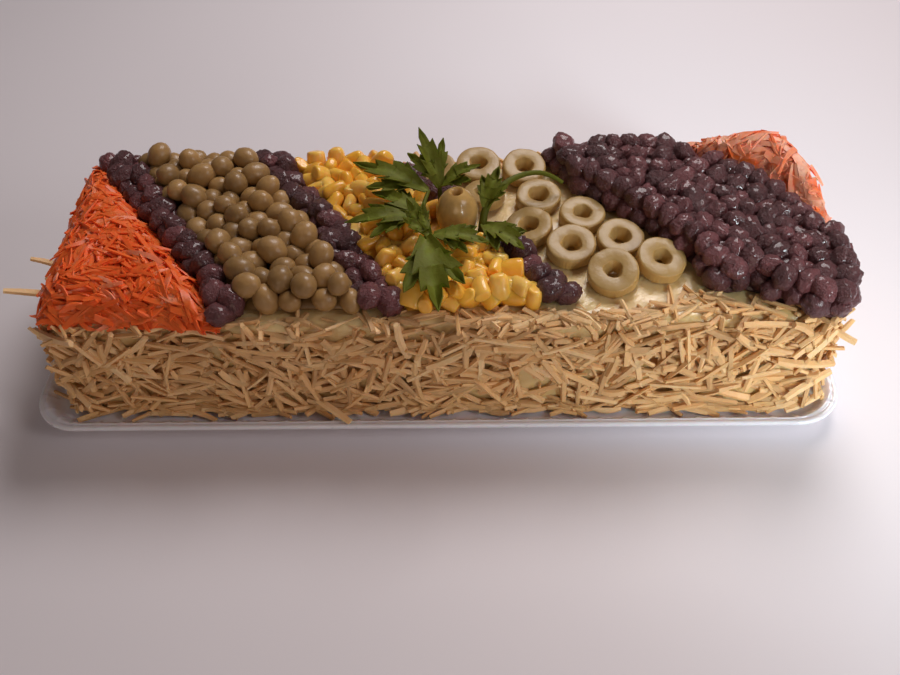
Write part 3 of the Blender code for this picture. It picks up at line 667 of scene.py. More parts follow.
def grated_carrot(colours):
    """Raw carrot, freshly grated: wet cut fibres, a moist gleam on saturated orange; the pale last stop is
    painted light, reached by the right heap.
    """
    material, tree, shader = new_finish(
        "Grated carrot", Roughness=0.38, IOR=1.38,
        Subsurface_Weight=0.35, Subsurface_Scale=0.0018, Subsurface_Radius=(1.0, 0.35, 0.12))
    base = colours.carrot
    # The pale last stop is painted light: the right heap's high tones reach it, so that end looks brightly
    # lit.
    coloured(tree, shader, toned(tree, 0.55, 0.006),
             (0.05, tinted(base, 0.74)), (0.40, tinted(base, 0.94)), (0.60, base),
             (0.85, tinted(base, 1.1, (1.0, 0.55, 0.40), 0.82)))
    grained(tree, shader, 0.00012, 0.0008)
    return material


def soaked_raisin(colours):
    """Raisins plumped in liquid: thin black skins in fine wrinkles that glint where wet."""
    material, tree, shader = new_finish(
        "Soaked raisin", Roughness=0.45, IOR=1.45, Coat_Weight=0.45, Coat_Roughness=0.12,
        Subsurface_Weight=0.12, Subsurface_Scale=0.0015, Subsurface_Radius=(1.0, 0.3, 0.25))
    base = colours.raisin
    coloured(tree, shader, toned(tree, 0.5, 0.004),
             (0.15, tinted(base, 0.55)), (0.55, base), (0.90, tinted(base, 1.9)))
    grained(tree, shader, 0.0014, 0.0009, 4.0, 0.60)
    return material


def tinned_pea(colours):
    """Tinned peas: soft, dull, brownish green skins, faintly clear, with a low wet shine."""
    material, tree, shader = new_finish(
        "Tinned pea", Roughness=0.42, IOR=1.40, Coat_Weight=0.2, Coat_Roughness=0.15,
        Subsurface_Weight=0.35, Subsurface_Scale=0.0025, Subsurface_Radius=(1.0, 0.9, 0.35))
    base = colours.pea
    coloured(tree, shader, toned(tree, 0.5, 0.004),
             (0.15, tinted(base, 0.62)), (0.5, tinted(base, 0.92)), (0.9, tinted(base, 1.18)))
    grained(tree, shader, 0.00020, 0.0020, 2.0)
    return material


def tinned_corn(colours):
    """Tinned sweetcorn: taut clear skins over yellow flesh, glossy with their liquor."""
    material, tree, shader = new_finish(
        "Tinned sweetcorn", Roughness=0.30, IOR=1.42, Coat_Weight=0.25, Coat_Roughness=0.10,
        Subsurface_Weight=0.45, Subsurface_Scale=0.0025, Subsurface_Radius=(1.0, 0.6, 0.15))
    base = colours.corn
    coloured(tree, shader, toned(tree, 0.55, 0.005), (0.10, tinted(base, 0.70)), (0.50, base),
             (0.90, tinted(base, 1.05, (0.95, 0.72, 0.30), 0.45)))
    grained(tree, shader, 0.00025, 0.0025, 2.0)
    return material


def cut_olive(colours):
    """Brined green olive, sliced: close waxy flesh, paler where cut and darker at the skin, with painted
    shade in the hole.
    """
    material, tree, shader = new_finish(
        "Cut olive", Roughness=0.42, IOR=1.42, Coat_Weight=0.12, Coat_Roughness=0.15,
        Subsurface_Weight=0.35, Subsurface_Scale=0.0020, Subsurface_Radius=(1.0, 0.8, 0.35))
    flesh, skin = colours.olive, colours.olive_skin
    coloured(tree, shader, toned(tree, 0.80, 0.003),
             (0.12, tinted(skin, 0.80)), (0.38, tinted(skin, 1.1)), (0.62, flesh),
             (0.92, tinted(flesh, 1.12)))
    grained(tree, shader, 0.00012, 0.0012)
    return material


def olive_peel(colours):
    """The skin of a brined green olive: smooth, waxy and mottled, with a wet highlight."""
    material, tree, shader = new_finish(
        "Olive peel", Roughness=0.22, IOR=1.43, Coat_Weight=0.35, Coat_Roughness=0.08,
        Subsurface_Weight=0.25, Subsurface_Scale=0.0025, Subsurface_Radius=(1.0, 0.8, 0.3))
    base = colours.olive_skin
    coloured(tree, shader, spots_of(tree, 0.005, 4.0),
             (0.28, tinted(base, 0.75)), (0.55, base), (0.78, tinted(base, 1.25)))
    grained(tree, shader, 0.00010, 0.0016)
    return material


def parsley_green(colours):
    """Fresh parsley: thin waxy blades, deep green, with paler ribs that the light comes through."""
    material, tree, shader = new_finish(
        "Parsley leaf", Roughness=0.60, IOR=1.40, Specular_IOR_Level=0.30,
        Subsurface_Weight=0.20, Subsurface_Scale=0.0010, Subsurface_Radius=(0.4, 1.0, 0.2))
    base = colours.parsley
    coloured(tree, shader, toned(tree, 0.55, 0.006), (0.10, tinted(base, 0.55)), (0.50, base),
             (0.92, tinted(base, 1.5, (0.35, 0.50, 0.15), 0.15)))
    grained(tree, shader, 0.00020, 0.0015)
    return material


class CAKE_OT_platter(bpy.types.Operator):
    """Makes the china platter, with its double lip and the ribs of its rim"""

    bl_idname = "cake.platter"
    bl_label = "Platter"

    def execute(self, context):
        bpy.ops.mesh.primitive_plane_add(size=1, location=(PLATTER_SHIFT, 0, OUTLINE_HEIGHT))
        dish = context.object
        dish.name = "platter_china"
        dish.scale = (PLATTER_LENGTH, PLATTER_WIDTH, 1)
        settle_place(dish)
        bpy.ops.object.mode_set(mode="EDIT")
        bpy.ops.mesh.select_all(action="SELECT")
        bpy.ops.mesh.bevel(affect="VERTICES", offset=PLATTER_CORNER, segments=14)
        for least, cuts in OUTLINE_CUTS:
            choose(dish, "EDGE", lambda edge: edge.calc_length() > least)
            bpy.ops.mesh.subdivide(number_cuts=cuts)
            bpy.ops.mesh.select_mode(type="FACE")
            bpy.ops.mesh.select_all(action="SELECT")
            bpy.ops.mesh.dissolve_faces()
        bpy.ops.mesh.select_mode(type="FACE")
        bpy.ops.mesh.select_all(action="SELECT")
        self.rings(UPPER_RINGS)
        choose(dish, "FACE", lambda face: len(face.verts) > 4
               and abs(face.calc_center_median().z - OUTLINE_HEIGHT) < 0.0001)
        self.rings(LOWER_RINGS)
        bpy.ops.mesh.select_all(action="SELECT")
        bpy.ops.mesh.normals_make_consistent(inside=False)
        bpy.ops.object.mode_set(mode="OBJECT")
        self.rib(dish, context.scene.cake_sizes.rib_pitch)
        smooth(dish, 50)
        finished(dish, glazed_china(context.scene.cake_colours), "china", "platter")
        return {"FINISHED"}

    def rings(self, steps):
        """Draws the chosen face on, ring by ring: each one so much further in and up."""
        inset = 0
        for further_in, up in steps:
            before = inset
            inset += further_in
            growth = [(size - 2 * inset) / (size - 2 * before) for size in (PLATTER_LENGTH, PLATTER_WIDTH)]
            bpy.ops.mesh.extrude_region_move(TRANSFORM_OT_translate={"value": (0, 0, up)})
            bpy.ops.transform.resize(value=(*growth, 1), center_override=(PLATTER_SHIFT, 0, 0))

    def rib(self, dish, pitch):
        """Raises narrow ribs on the rim's slope, which stand square to its edge."""
        straight = PLATTER_LENGTH / 2 - PLATTER_CORNER
        across = PLATTER_WIDTH / 2 - PLATTER_CORNER
        for vert in dish.data.vertices:
            x, y = vert.co.x - PLATTER_SHIFT, vert.co.y
            dx, dy = abs(x) - straight, abs(y) - across
            if max(dx, dy) < PLATTER_CORNER - RIM_WIDTH - 0.001 or vert.co.z < PLATTER_FLOOR - 0.0008:
                continue
            if dx > 0 and dy > 0:
                route = PLATTER_CORNER * math.atan2(dy, dx)
            else:
                route = x if dy > dx else y
            down = min(1.0, max(0.0, (PLATTER_RIM - vert.co.z) / SLOPE_HEIGHT))
            ridge = max(0.0, math.cos(math.tau * route / pitch)) ** 6
            if vert.normal.z > 0.2:
                vert.co.z += RIB_HEIGHT * math.sin(math.pi * down) * ridge


class CAKE_OT_loaf(bpy.types.Operator):
    """Makes the loaf under its spread mayonnaise"""

    bl_idname = "cake.loaf"
    bl_label = "Mayonnaise loaf"

    def execute(self, context):
        middle = (LOAF_FOOT + TOP) / 2
        bpy.ops.mesh.primitive_cube_add(size=1, location=(0, 0, middle))
        loaf = context.object
        loaf.name = "mayonnaise_loaf"
        loaf.scale = (LOAF_LENGTH, LOAF_WIDTH, TOP - LOAF_FOOT)
        settle_place(loaf)
        bpy.ops.object.mode_set(mode="EDIT")
        choose(loaf, "EDGE", lambda edge: abs((edge.verts[0].co - edge.verts[1].co).z) > 0.02)
        bpy.ops.mesh.bevel(offset=LOAF_CORNER, segments=8, affect="EDGES")
        choose(loaf, "FACE", lambda face: face.normal.z > 0.9)
        bpy.ops.mesh.region_to_loop()
        bpy.ops.mesh.bevel(offset=0.0028, segments=4, affect="EDGES")
        bpy.ops.object.mode_set(mode="OBJECT")
        modify(loaf, "REMESH", mode="VOXEL", voxel_size=0.0021)
        roughen(loaf, 0.022, 0.0016)
        roughen(loaf, 0.007, 0.0010)
        self.swell(loaf)
        pick(loaf)
        bpy.ops.object.mode_set(mode="EDIT")
        bpy.ops.mesh.select_all(action="SELECT")
        bpy.ops.mesh.bisect(plane_co=(0, 0, LOAF_FOOT + 0.0006), plane_no=(0, 0, -1), use_fill=True,
                            clear_outer=True)
        bpy.ops.object.mode_set(mode="OBJECT")
        smooth(loaf)
        finished(loaf, mayonnaise(context.scene.cake_colours), "mayonnaise", "cake")
        return {"FINISHED"}

    def swell(self, loaf):
        """Lets the mayonnaise bulge forward over parts of the front edge."""
        for vert in loaf.data.vertices:
            gap = math.hypot(vert.co.y + LOAF_WIDTH / 2 - 0.0018, vert.co.z - TOP + 0.0018)
            share = max(0.0, 1 - gap / SWELL_WIDTH)
            for middle, half_run in SWELLS:
                run = max(0.0, 1 - abs(vert.co.x - middle) / half_run)
                vert.co.y -= 0.8 * SWELL_DEPTH * share * min(1.0, 2 * run)
                vert.co.z += 0.3 * SWELL_DEPTH * share * min(1.0, 2 * run)


class CAKE_OT_potato_sticks(bpy.types.Operator):
    """Presses the fried potato sticks on the four sides and the top's edge"""

    bl_idname = "cake.potato_sticks"
    bl_label = "Potato sticks"

    def execute(self, context):
        sizes = context.scene.cake_sizes
        draw = random.Random(11)
        models = []
        for number in range(9):
            models.append(rod("stick model", sizes.stick_length,
                              sizes.stick_thickness * draw.uniform(1.1, 1.7),
                              sizes.stick_thickness * draw.uniform(0.65, 0.95),
                              draw.uniform(0.45, 0.85), draw.uniform(-32, 32),
                              draw.uniform(-40, 40), sides=5, stations=4))
        places = self.sides(draw) + self.rim(draw) + self.fallen(draw) + self.strays(sizes)
        coat = joined("potato_sticks", copies_of(models, places))
        discard(models)
        smooth(coat, 40)
        finished(coat, fried_potato(context.scene.cake_colours), "potato_coat", "cake")
        return {"FINISHED"}

    def sides(self, draw):
        """Sticks that lie flat on the four sides and follow the rounded corners."""
        faces = (
            (Vector((0, -LOAF_WIDTH / 2)), 0, LOAF_LENGTH / 2),
            (Vector((LOAF_LENGTH / 2, 0)), 90, LOAF_WIDTH / 2),
            (Vector((0, LOAF_WIDTH / 2)), 180, LOAF_LENGTH / 2),
            (Vector((-LOAF_LENGTH / 2, 0)), 270, LOAF_WIDTH / 2),
        )
        places = []
        for (middle, heading, half_run), count in zip(faces, SIDE_STICKS):
            facing = Matrix.Rotation(math.radians(heading), 4, "Z")
            outward = facing @ Vector((0, -1, 0))
            run = facing @ Vector((1, 0, 0))
            for number in range(count):
                stretch = draw.uniform(0.5, 1.35)
                lean = draw.gauss(0, STICK_LEAN)
                rises = abs(math.sin(math.radians(lean))) * (stretch * HALF_STICK)
                along = (half_run - 0.0015) * (2 * (number + draw.random()) / count - 1)
                past = max(0.0, abs(along) - (half_run - LOAF_CORNER))
                round_off = LOAF_CORNER - math.sqrt(max(0.0, LOAF_CORNER ** 2 - past ** 2))
                layer = draw.uniform(0.0002, 0.0036)
                centre = Vector((*middle, 0)) + run * along + outward * (layer - round_off)
                low = LOAF_FOOT + 0.0012 + rises
                high = max(low + 0.001, TOP + 0.0006 - 0.8 * rises)
                centre.z = low + (high - low) * draw.random()
                turn_in = math.copysign(math.degrees(math.asin(min(1.0, past / LOAF_CORNER))), along)
                turn = (facing @ Matrix.Rotation(math.radians(turn_in), 4, "Z")
                        @ Matrix.Rotation(math.radians(-lean), 4, "Y")
                        @ Matrix.Rotation(math.radians(draw.gauss(0, 9)), 4, "Z")
                        @ Matrix.Rotation(draw.uniform(0, math.tau), 4, "X"))
                thick = draw.uniform(0.75, 1.15)
                places.append((placed(centre, turn, stretch, thick), draw.random()))
        return places

    def rim(self, draw):
        """Sticks that lie over the top's edge, more of them at the front and at the right."""
        places = []
        for number in range(RIM_STICKS):
            front = draw.random() < 0.72
            along = LOAF_LENGTH / 2 * draw.uniform(0.1 if number % 2 else -0.98, 0.98)
            across = LOAF_WIDTH / 2 - draw.uniform(-0.0008, 0.0020)
            if front:
                across = -LOAF_WIDTH / 2 + draw.uniform(-0.0014, 0.0018)
            if front and along > 0.080:
                across += draw.uniform(0, 0.010)
            stretch = draw.uniform(0.45, 0.95)
            turn = turned(draw.gauss(0, 0.7), draw.gauss(0, 0.14), draw.uniform(0, math.tau))
            centre = Vector((along, across, TOP + draw.uniform(-0.0006, 0.0012)))
            places.append((placed(centre, turn, stretch, 0.9), draw.random()))
        return places

    def fallen(self, draw):
        """Sticks that lie along the loaf's foot, on the platter."""
        places = []
        front, back, ends = FALLEN_STICKS
        for number in range(front + back + ends):
            out = draw.uniform(0.0006, 0.0040)
            if number < front:
                x, y, heading = draw.uniform(-0.138, 0.137), -LOAF_WIDTH / 2 - out, 0
            elif number < front + back:
                x, y, heading = draw.uniform(-0.138, 0.137), LOAF_WIDTH / 2 + out, 0
            else:
                x = math.copysign(LOAF_LENGTH / 2 + out, draw.uniform(-1, 1))
                y, heading = draw.uniform(-0.040, 0.040), 90
            turn = turned(math.radians(heading) + draw.gauss(0, 0.32), draw.gauss(0, 0.10),
                          draw.uniform(0, math.tau))
            z = 0.0072 + 1.2 * (0.0040 - out) * draw.random()
            stretch = draw.uniform(0.45, 0.95)
            places.append((placed((x, y, z), turn, stretch, 0.95), draw.random()))
        return places

    def strays(self, sizes):
        """The few sticks that stand out past the coat."""
        places = []
        for root, tip in STRAY_STICKS:
            along = Vector(tip) - Vector(root)
            turn = along.to_track_quat("X", "Z").to_matrix().to_4x4()
            middle = (Vector(root) + Vector(tip)) / 2
            places.append((placed(middle, turn, along.length / sizes.stick_length, 1.15), 0.9))
        return places


class CAKE_OT_carrot(bpy.types.Operator):
    """Heaps the grated carrot at both ends of the cake"""

    bl_idname = "cake.carrot"
    bl_label = "Grated carrot"

    def execute(self, context):
        sizes = context.scene.cake_sizes
        draw = random.Random(21)
        models = []
        for number in range(10):
            models.append(rod("shred model", sizes.shred_length, sizes.shred_width * draw.uniform(0.8, 1.3),
                              sizes.shred_width * draw.uniform(0.32, 0.48), draw.uniform(0.3, 0.7),
                              draw.uniform(-60, 60), draw.uniform(-30, 30), stations=7))
        material = grated_carrot(context.scene.cake_colours)
        # Each heap: name, its two lines, shreds per layer, height and range of tones. The right heap's high
        # tones are painted light, that end drawn paler as if lit brighter.
        heaps = (
            ("carrot_left", LEFT_END, CARROT_TO_RAISINS, 170, 0.0100, (0.15, 0.80)),
            ("carrot_right", FIELD_TO_CARROT, RIGHT_END, 110, 0.0175, (0.80, 1.0)),
        )
        for name, left, right, count, height, tones_and_painted_light in heaps:
            mound = bed(name + " bed", left, right, height - 0.0010, SHREDS_REACH, tone=tones_and_painted_light[0])
            outline = between(left, right)
            shreds = copies_of(models, self.strewn(outline, count, tones_and_painted_light, draw))
            for shred in shreds:
                self.drape(shred, outline, height)
            if name == "carrot_right":
                # The curl takes the highest tone, painted light like the rest of the right heap.
                curl = placed((0.1450, 0.0240, 0.0585), turned(0, 1.0, 1.4), 0.55, 0.8)
                shreds += copies_of(models, [(curl, 1.0)])
            heap = joined(name + "_shreds", [mound] + shreds)
            smooth(heap, 50)
            finished(heap, material, "carrot", name)
        discard(models)
        return {"FINISHED"}

    def strewn(self, outline, count, tones_and_painted_light, draw):
        """Layers of shreds laid flat, along the heap's edge and in swirls of one heading."""
        places = []
        low, high = outline.min(0), outline.max(0)
        for layer in range(SHRED_LAYERS):
            laid = 0
            while laid < count:
                spot = np.array([[draw.uniform(low[0], high[0]), draw.uniform(low[1], high[1])]])
                depth, inward = edge_near(outline, spot)
                if depth[0] < 0.0006:
                    continue
                laid += 1
                share = min(1.0, depth[0] / SHREDS_REACH)
                stretch = draw.uniform(0.50, 0.90 + 0.25 * share)
                contour = math.atan2(inward[0][0], -inward[0][1])
                swirl = 3.5 * noise.noise((spot[0][0] * 38, spot[0][1] * 38, 0.5 * layer))
                heading = contour + share ** 2 * swirl + draw.gauss(0, 0.28)
                turn = turned(heading, draw.gauss(0, 0.11),
                              draw.gauss(0, 0.45) + math.pi * draw.randint(0, 1))
                place = (spot[0][0], spot[0][1], TOP - 0.0008 + LAYER_RISE * layer)
                places.append((placed(place, turn, stretch), draw.uniform(*tones_and_painted_light)))
        return places

    def drape(self, shred, outline, height):
        """Lays a shred down on the mound: it follows the rise and droops past the heap's edge."""
        spots = np.empty(3 * len(shred.data.vertices))
        shred.data.vertices.foreach_get("co", spots)
        spots = spots.reshape(-1, 3)
        depth, inward = edge_near(outline, spots[:, :2])
        past = np.minimum(depth, 0)
        drawn_in = SHREDS_OVERHANG * np.expm1(past / SHREDS_OVERHANG)
        lift = spots[:, 2] - TOP
        share = np.clip(depth / SHREDS_REACH, 0, 1)
        lean = 0.85 * np.arctan(math.pi / 2 * height / SHREDS_REACH * np.cos(math.pi / 2 * share))
        spots[:, :2] += inward * (drawn_in - past - np.sin(lean) * lift)[:, None]
        spots[:, 2] = TOP + rise(depth, height, SHREDS_REACH) + np.cos(lean) * lift + 0.7 * drawn_in
        shred.data.vertices.foreach_set("co", spots.ravel())
        shred.data.update()


def heap_of(name, models, left, right, heap, seed):
    """One piece: the bed of a heap and the copies that lie on it."""
    spots, radii = settle(between(left, right), heap, seed)
    draw = random.Random(seed)
    places = []
    for spot, radius in zip(spots, radii):
        place = Matrix.Translation(spot) @ any_turn(draw) @ Matrix.Scale(float(radius), 4)
        places.append((place, draw.random()))
    parts = copies_of(models, places)
    # The bed takes the lowest tone, 0.1: painted shade under the pieces.
    if heap.bed:
        parts.append(bed(name + " bed", left, right, heap.bed, heap.slope))
    piece = joined(name, parts)
    smooth(piece)
    return piece


class CAKE_OT_raisins(bpy.types.Operator):
    """Heaps the soaked raisins in their rows and in the field at the right"""

    bl_idname = "cake.raisins"
    bl_label = "Raisins"

    def execute(self, context):
        draw = random.Random(31)
        models = []
        for number in range(9):
            scale = (1.12, draw.uniform(0.90, 1.02), draw.uniform(0.78, 0.92))
            raisin = ball("raisin model", number, 4, scale, ((0.95, 0.42), (0.30, 0.30)))
            modify(raisin, "DECIMATE", ratio=0.5)
            settle_place(raisin)
            models.append(raisin)
        material = soaked_raisin(context.scene.cake_colours)
        rows = (
            ("raisins_left", CARROT_TO_RAISINS, RAISINS_TO_PEAS, LEFT_ROW, 31),
            ("raisins_middle", PEAS_TO_RAISINS, RAISINS_TO_CORN, MIDDLE_ROW, 32),
            ("raisins_centre", CORN_TO_RAISINS, RAISINS_TO_OLIVES, CENTRE_ROW, 33),
            ("raisins_right", OLIVES_TO_FIELD + FIELD_FRONT, FIELD_TO_CARROT, FIELD, 34),
        )
        for name, left, right, heap, seed in rows:
            piece = heap_of(name + "_heap", models, left, right, heap, seed)
            finished(piece, material, "raisin", name)
        discard(models)
        return {"FINISHED"}


class CAKE_OT_peas(bpy.types.Operator):
    """Heaps the tinned peas"""

    bl_idname = "cake.peas"
    bl_label = "Peas"

    def execute(self, context):
        draw = random.Random(41)
        models = []
        for number in range(7):
            scale = (draw.uniform(1.0, 1.28), draw.uniform(0.95, 1.05), draw.uniform(0.9, 1.0))
            pea = ball("pea model", number, 3, scale, ((0.9, 0.16),))
            settle_place(pea)
            models.append(pea)
        piece = heap_of("peas_heap", models, RAISINS_TO_PEAS, PEAS_TO_RAISINS, PEAS, 41)
        discard(models)
        finished(piece, tinned_pea(context.scene.cake_colours), "pea", "peas")
        return {"FINISHED"}


class CAKE_OT_sweetcorn(bpy.types.Operator):
    """Heaps the tinned sweetcorn"""

    bl_idname = "cake.sweetcorn"
    bl_label = "Sweetcorn"

    def execute(self, context):
        draw = random.Random(51)
        models = []
        for number in range(7):
            aside = number * 4.0
            bpy.ops.mesh.primitive_cube_add(size=1, location=(aside, 0, 0))
            kernel = context.object
            kernel.name = "kernel model"
            kernel.scale = (2.0, 2.15 * draw.uniform(0.9, 1.08), 1.45 * draw.uniform(0.9, 1.15))
            settle_place(kernel)
            bpy.ops.object.mode_set(mode="EDIT")
            choose(kernel, "FACE", lambda face: face.normal.x < -0.9)
            bpy.ops.mesh.extrude_region_move(TRANSFORM_OT_translate={"value": (-0.45, 0, 0)})
            bpy.ops.transform.resize(value=(1, 0.50, 0.60), center_override=(aside - 1.45, 0, 0))
            choose(kernel, "FACE", lambda face: face.normal.x > 0.9)
            bpy.ops.mesh.inset(thickness=0.35, depth=-0.06)
            bpy.ops.object.mode_set(mode="OBJECT")
            modify(kernel, "SUBSURF", levels=2, render_levels=2)
            roughen(kernel, 1.2, 0.20)
            kernel.location = (-aside, 0, 0)
            settle_place(kernel)
            models.append(kernel)
        piece = heap_of("sweetcorn_heap", models, RAISINS_TO_CORN, CORN_TO_RAISINS, CORN, 51)
        discard(models)
        finished(piece, tinned_corn(context.scene.cake_colours), "sweetcorn", "corn")
        return {"FINISHED"}


class CAKE_OT_olives(bpy.types.Operator):
    """Lays the olive slices and stands the whole olive in the middle"""

    bl_idname = "cake.olives"
    bl_label = "Olives"

    def execute(self, context):
        material = cut_olive(context.scene.cake_colours)
        draw = random.Random(61)
        for number, shape in enumerate(OLIVE_SLICES, start=1):
            self.slice(context, number, shape, material, draw)
        self.whole(context)
        return {"FINISHED"}

    def slice(self, context, number, shape, material, draw):
        """A ring of flesh with rounded edges, its hole ragged and narrower below."""
        x, y, radius, about_x, about_y = shape
        hole = draw.uniform(0.0033, 0.0040)
        bpy.ops.mesh.primitive_cylinder_add(vertices=44, radius=radius, depth=SLICE_THICKNESS)
        ring = context.object
        ring.name = f"sliced_olive_{number:02d}"
        bpy.ops.object.mode_set(mode="EDIT")
        choose(ring, "FACE", lambda face: abs(face.normal.z) > 0.9)
        bpy.ops.mesh.inset(thickness=radius - hole, use_individual=True)
        bpy.ops.mesh.bridge_edge_loops()
        self.round_off(ring, lambda out: out > radius - 1e-4, 0.0009, 4)
        self.round_off(ring, lambda out: out < hole + 1e-4, 0.0004, 2)
        bpy.ops.object.mode_set(mode="OBJECT")
        squash = 1 + draw.uniform(-0.05, 0.05)
        shade = ring.data.attributes.new("tone", "FLOAT", "POINT")
        for vert, value in zip(ring.data.vertices, shade.data):
            out = math.hypot(*vert.co.xy)
            turn = math.atan2(vert.co.y, vert.co.x)
            # Darker towards the skin, which is the olive's own colour, and darkest on the hole's walls and
            # rim, which is painted shade in the hole.
            at_skin = max(0.0, (out - radius + 0.0006) / 0.0006)
            hole_shade = max(0.0, 1 - (out - hole) / 0.0004)
            value.value = 0.74 - 0.42 * at_skin - 0.34 * hole_shade
            if out < hole + 0.0012:
                jag = 1 + 0.035 * math.sin(3 * turn + number) + 0.03 * math.sin(5 * turn + 2 * number)
                vert.co.x *= jag
                vert.co.y *= jag
                if vert.co.z < 0:
                    vert.co.x *= 0.5
                    vert.co.y *= 0.5
            vert.co.x *= squash
        ring.location = (number * 0.02, 0, 0)
        roughen(ring, 0.005, 0.0007)
        ring.location = (0, 0, 0)
        ring.data.transform(Matrix.Rotation(draw.uniform(0, math.tau), 4, "Z"))
        ring.data.transform(Matrix.Rotation(math.radians(about_x), 4, "X")
                            @ Matrix.Rotation(math.radians(about_y), 4, "Y"))
        lowest = min(vert.co.z for vert in ring.data.vertices)
        ring.data.transform(Matrix.Translation((x, y, TOP - 0.0002 - lowest)))
        smooth(ring, 50)
        finished(ring, material, "olive_slice", f"olive_slice_{number:02d}")

    def round_off(self, ring, near, offset, segments):
        """Rounds those edges of the two cuts whose distance from the middle passes a test."""
        choose(ring, "EDGE", lambda edge: all(
            abs(abs(v.co.z) - SLICE_THICKNESS / 2) < 1e-6 and near(math.hypot(*v.co.xy))
            for v in edge.verts))
        bpy.ops.mesh.bevel(offset=offset, segments=segments, affect="EDGES")

    def whole(self, context):
        """The standing olive, with the hole that its pit left at the top."""
        radius, height = WHOLE_OLIVE
        top = TOP + height
        bpy.ops.mesh.primitive_uv_sphere_add(segments=40, ring_count=28, radius=radius,
                                             location=(*OLIVE_PLACE, TOP + height / 2))
        olive = context.object
        olive.name = "whole_olive_peel"
        olive.scale = (1, 1, height / 2 / radius)
        settle_place(olive)
        bpy.ops.object.mode_set(mode="EDIT")
        choose(olive, "FACE", lambda face: face.calc_center_median().z > TOP + 0.975 * height)
        for down, size, centre in ((0.0006, (0.7, 0.7, 1), top), (0.0030, (0.8, 0.8, 0.3), top - 0.0035)):
            bpy.ops.mesh.extrude_region_move(TRANSFORM_OT_translate={"value": (0, 0, -down)})
            bpy.ops.transform.resize(value=size, center_override=(*OLIVE_PLACE, centre))
        bpy.ops.object.mode_set(mode="OBJECT")
        roughen(olive, 0.008, 0.0006)
        smooth(olive, 60)
        finished(olive, olive_peel(context.scene.cake_colours), "olive_skin", "whole_olive")


class CAKE_OT_parsley(bpy.types.Operator):
    """Stands the parsley sprigs round the whole olive"""

    bl_idname = "cake.parsley"
    bl_label = "Parsley"

    def execute(self, context):
        material = parsley_green(context.scene.cake_colours)
        draw = random.Random(71)
        for name, (route, radius, leaves) in SPRIGS.items():
            parts = [self.stalk(context, route, radius)]
            for base, tip, width, bow in leaves:
                parts += self.leaf(context, Vector(base), Vector(tip), width, bow, draw)
            sprig = joined(name + "_sprig", parts)
            smooth(sprig, 50)
            finished(sprig, material, "parsley", name)
        return {"FINISHED"}

    def stalk(self, context, route, radius):
        """A round stalk along a route."""
        curve = bpy.data.curves.new("stalk", "CURVE")
        curve.dimensions = "3D"
        curve.bevel_depth = radius
        curve.bevel_resolution = 2
        curve.use_fill_caps = True
        spline = curve.splines.new("NURBS")
        spline.points.add(len(route) - 1)
        for number, (point, place) in enumerate(zip(spline.points, route)):
            point.co = (*place, 1.0)
            point.radius = 1.5 - 1.0 * number / len(route)
        spline.use_endpoint_u = True
        spline.order_u = 3
        guide = bpy.data.objects.new("stalk", curve)
        context.scene.collection.objects.link(guide)
        pick(guide)
        bpy.ops.object.convert(target="MESH")
        stalk = context.object
        tint(stalk.data, 0.2)
        return stalk

    def leaf(self, context, base, tip, width, bow, draw):
        """Three toothed lobes that share one base."""
        along = tip - base
        side = along.cross(Vector((0, 0, 1)))
        if side.length < 0.3 * along.length:
            side = Vector((1, 0.2, 0))
        side.normalize()
        length = along.length
        ahead = along.normalized()
        lobes = [self.lobe(context, base, ahead, side, length, 0.50 * width, bow, 4, draw)]
        for way in (-1, 1):
            start = base + along * 0.20
            out = (ahead * 0.85 + side * way * 0.53).normalized()
            reach = min(0.62 * length, 1.1 * width + 0.003)
            across = (side * 0.85 - ahead * way * 0.53).normalized()
            lobes.append(self.lobe(context, start, out, across, reach, 0.36 * width, 0.4 * bow, 3, draw))
        return lobes

    def lobe(self, context, base, ahead, side, length, half_width, bow, teeth, draw):
        """A thin blade with teeth that point forward, folded along its rib."""
        up = side.cross(ahead).normalized()
        if up.z < 0:
            up = -up
        runs = []
        for tooth in range(teeth):
            runs += [(tooth + 0.04) / teeth, (tooth + 0.5) / teeth, (tooth + 0.93) / teeth]
        rows = len(runs)
        bpy.ops.mesh.primitive_grid_add(x_subdivisions=4, y_subdivisions=rows - 1, size=2)
        blade = context.object
        blade.name = "lobe"
        phase = draw.uniform(0, math.tau)
        shade = blade.data.attributes.new("tone", "FLOAT", "POINT")
        for vert, value in zip(blade.data.vertices, shade.data):
            across = vert.co.x
            row = round((vert.co.y + 1) / 2 * (rows - 1))
            run = runs[row]
            envelope = math.sin(math.pi * min(1.0, 0.06 + 0.97 * run) ** 0.85) ** 0.7
            tooth = 0.56 + 0.44 * (run * teeth % 1.0)
            reach = half_width * envelope * tooth
            forward = 0.13 * length * abs(across) * (run * teeth % 1.0)
            lift = bow * math.sin(math.pi * run) + 0.22 * half_width * abs(across) ** 1.5
            lift += 0.0005 * math.sin(9 * run + 3 * across + phase)
            vert.co = base + ahead * (run * length + forward) + side * across * reach + up * lift
            value.value = 0.45 + 0.45 * max(0.0, 1 - abs(across) * 2.2) + draw.uniform(-0.1, 0.1)
        modify(blade, "SOLIDIFY", thickness=context.scene.cake_sizes.leaf_thickness, offset=0.0)
        return blade


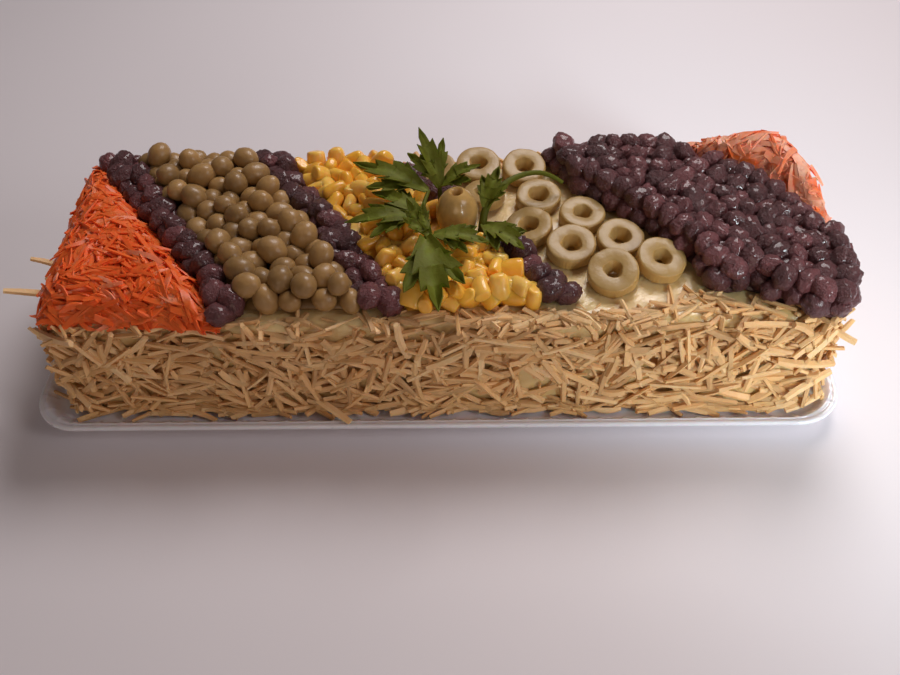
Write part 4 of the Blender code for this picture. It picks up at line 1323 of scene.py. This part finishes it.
class CAKE_OT_stage(bpy.types.Operator):
    """Lays the pale floor and sets the soft lights and the camera"""

    bl_idname = "cake.stage"
    bl_label = "Stage"

    def execute(self, context):
        bpy.ops.mesh.primitive_plane_add(size=6, location=(0, 0, -0.0002))
        floor = context.object
        floor.name = "floor"
        material, tree, shader = new_finish("Pale laminate", Roughness=0.55)
        table = context.scene.cake_colours.table
        coloured(tree, shader, spots_of(tree, 0.25), (0.3, tinted(table, 0.97)), (0.7, table))
        floor.data.materials.append(material)
        for name, place, target, size, power, colour in AREA_LIGHTS:
            light = self.light("AREA", name, place, target, power, colour)
            light.shape = "DISK"
            light.size = size
        for name, place, target, angle, power, colour in SPOT_LIGHTS:
            light = self.light("SPOT", name, place, target, power, colour)
            light.spot_size = math.radians(angle)
            light.spot_blend = 1.0
            light.shadow_soft_size = SPOT_RADIUS
        world = bpy.data.worlds.new("Room")
        world.use_nodes = True
        room = world.node_tree.nodes["Background"]
        room.inputs["Color"].default_value = ROOM_COLOUR
        room.inputs["Strength"].default_value = ROOM_STRENGTH
        context.scene.world = world
        self.camera(context)
        context.scene.view_settings.view_transform = "Standard"
        return {"FINISHED"}

    def light(self, kind, name, place, target, power, colour):
        """A light that stands at a place and faces a target."""
        bpy.ops.object.light_add(type=kind, location=place)
        lamp = bpy.context.object
        lamp.name = name
        lamp.data.energy = power
        lamp.data.color = colour
        lamp.rotation_mode = "QUATERNION"
        lamp.rotation_quaternion = (Vector(target) - Vector(place)).to_track_quat("-Z", "Y")
        return lamp.data

    def camera(self, context):
        """The camera stands where the photograph was taken from, tilted as it was held."""
        bpy.ops.object.camera_add()
        camera = context.object
        camera.name = "photograph view"
        camera.matrix_world = (Matrix.Translation(CAMERA_PLACE)
                               @ Matrix.Rotation(math.radians(-CAMERA_YAW), 4, "Z")
                               @ Matrix.Rotation(math.radians(90 - CAMERA_PITCH), 4, "X")
                               @ Matrix.Rotation(math.radians(CAMERA_ROLL), 4, "Z"))
        camera.data.lens = CAMERA_LENS
        camera.data.clip_start = 0.01
        context.scene.camera = camera


class CAKE_PT_pieces(bpy.types.Panel):
    """Lists the pieces, their sizes and their colours"""

    bl_idname = "CAKE_PT_pieces"
    bl_label = "Sandwich cake"
    bl_space_type = "VIEW_3D"
    bl_region_type = "UI"
    bl_category = "Cake"

    def draw(self, context):
        for operator in PIECES:
            self.layout.operator(operator.bl_idname)
        for group in (context.scene.cake_sizes, context.scene.cake_colours):
            column = self.layout.column()
            for name in group.__annotations__:
                column.prop(group, name)


PIECES = (CAKE_OT_platter, CAKE_OT_loaf, CAKE_OT_potato_sticks, CAKE_OT_carrot, CAKE_OT_raisins,
          CAKE_OT_peas, CAKE_OT_sweetcorn, CAKE_OT_olives, CAKE_OT_parsley, CAKE_OT_stage)
CLASSES = (CakeSizes, CakeColours, *PIECES, CAKE_PT_pieces)


def register():
    for made in CLASSES:
        bpy.utils.register_class(made)
    bpy.types.Scene.cake_sizes = bpy.props.PointerProperty(type=CakeSizes)
    bpy.types.Scene.cake_colours = bpy.props.PointerProperty(type=CakeColours)


def unregister():
    del bpy.types.Scene.cake_colours
    del bpy.types.Scene.cake_sizes
    for made in reversed(CLASSES):
        bpy.utils.unregister_class(made)


def main():
    register()
    for operator in PIECES:
        group, name = operator.bl_idname.split(".")
        getattr(getattr(bpy.ops, group), name)()


if __name__ == "__main__":
    main()
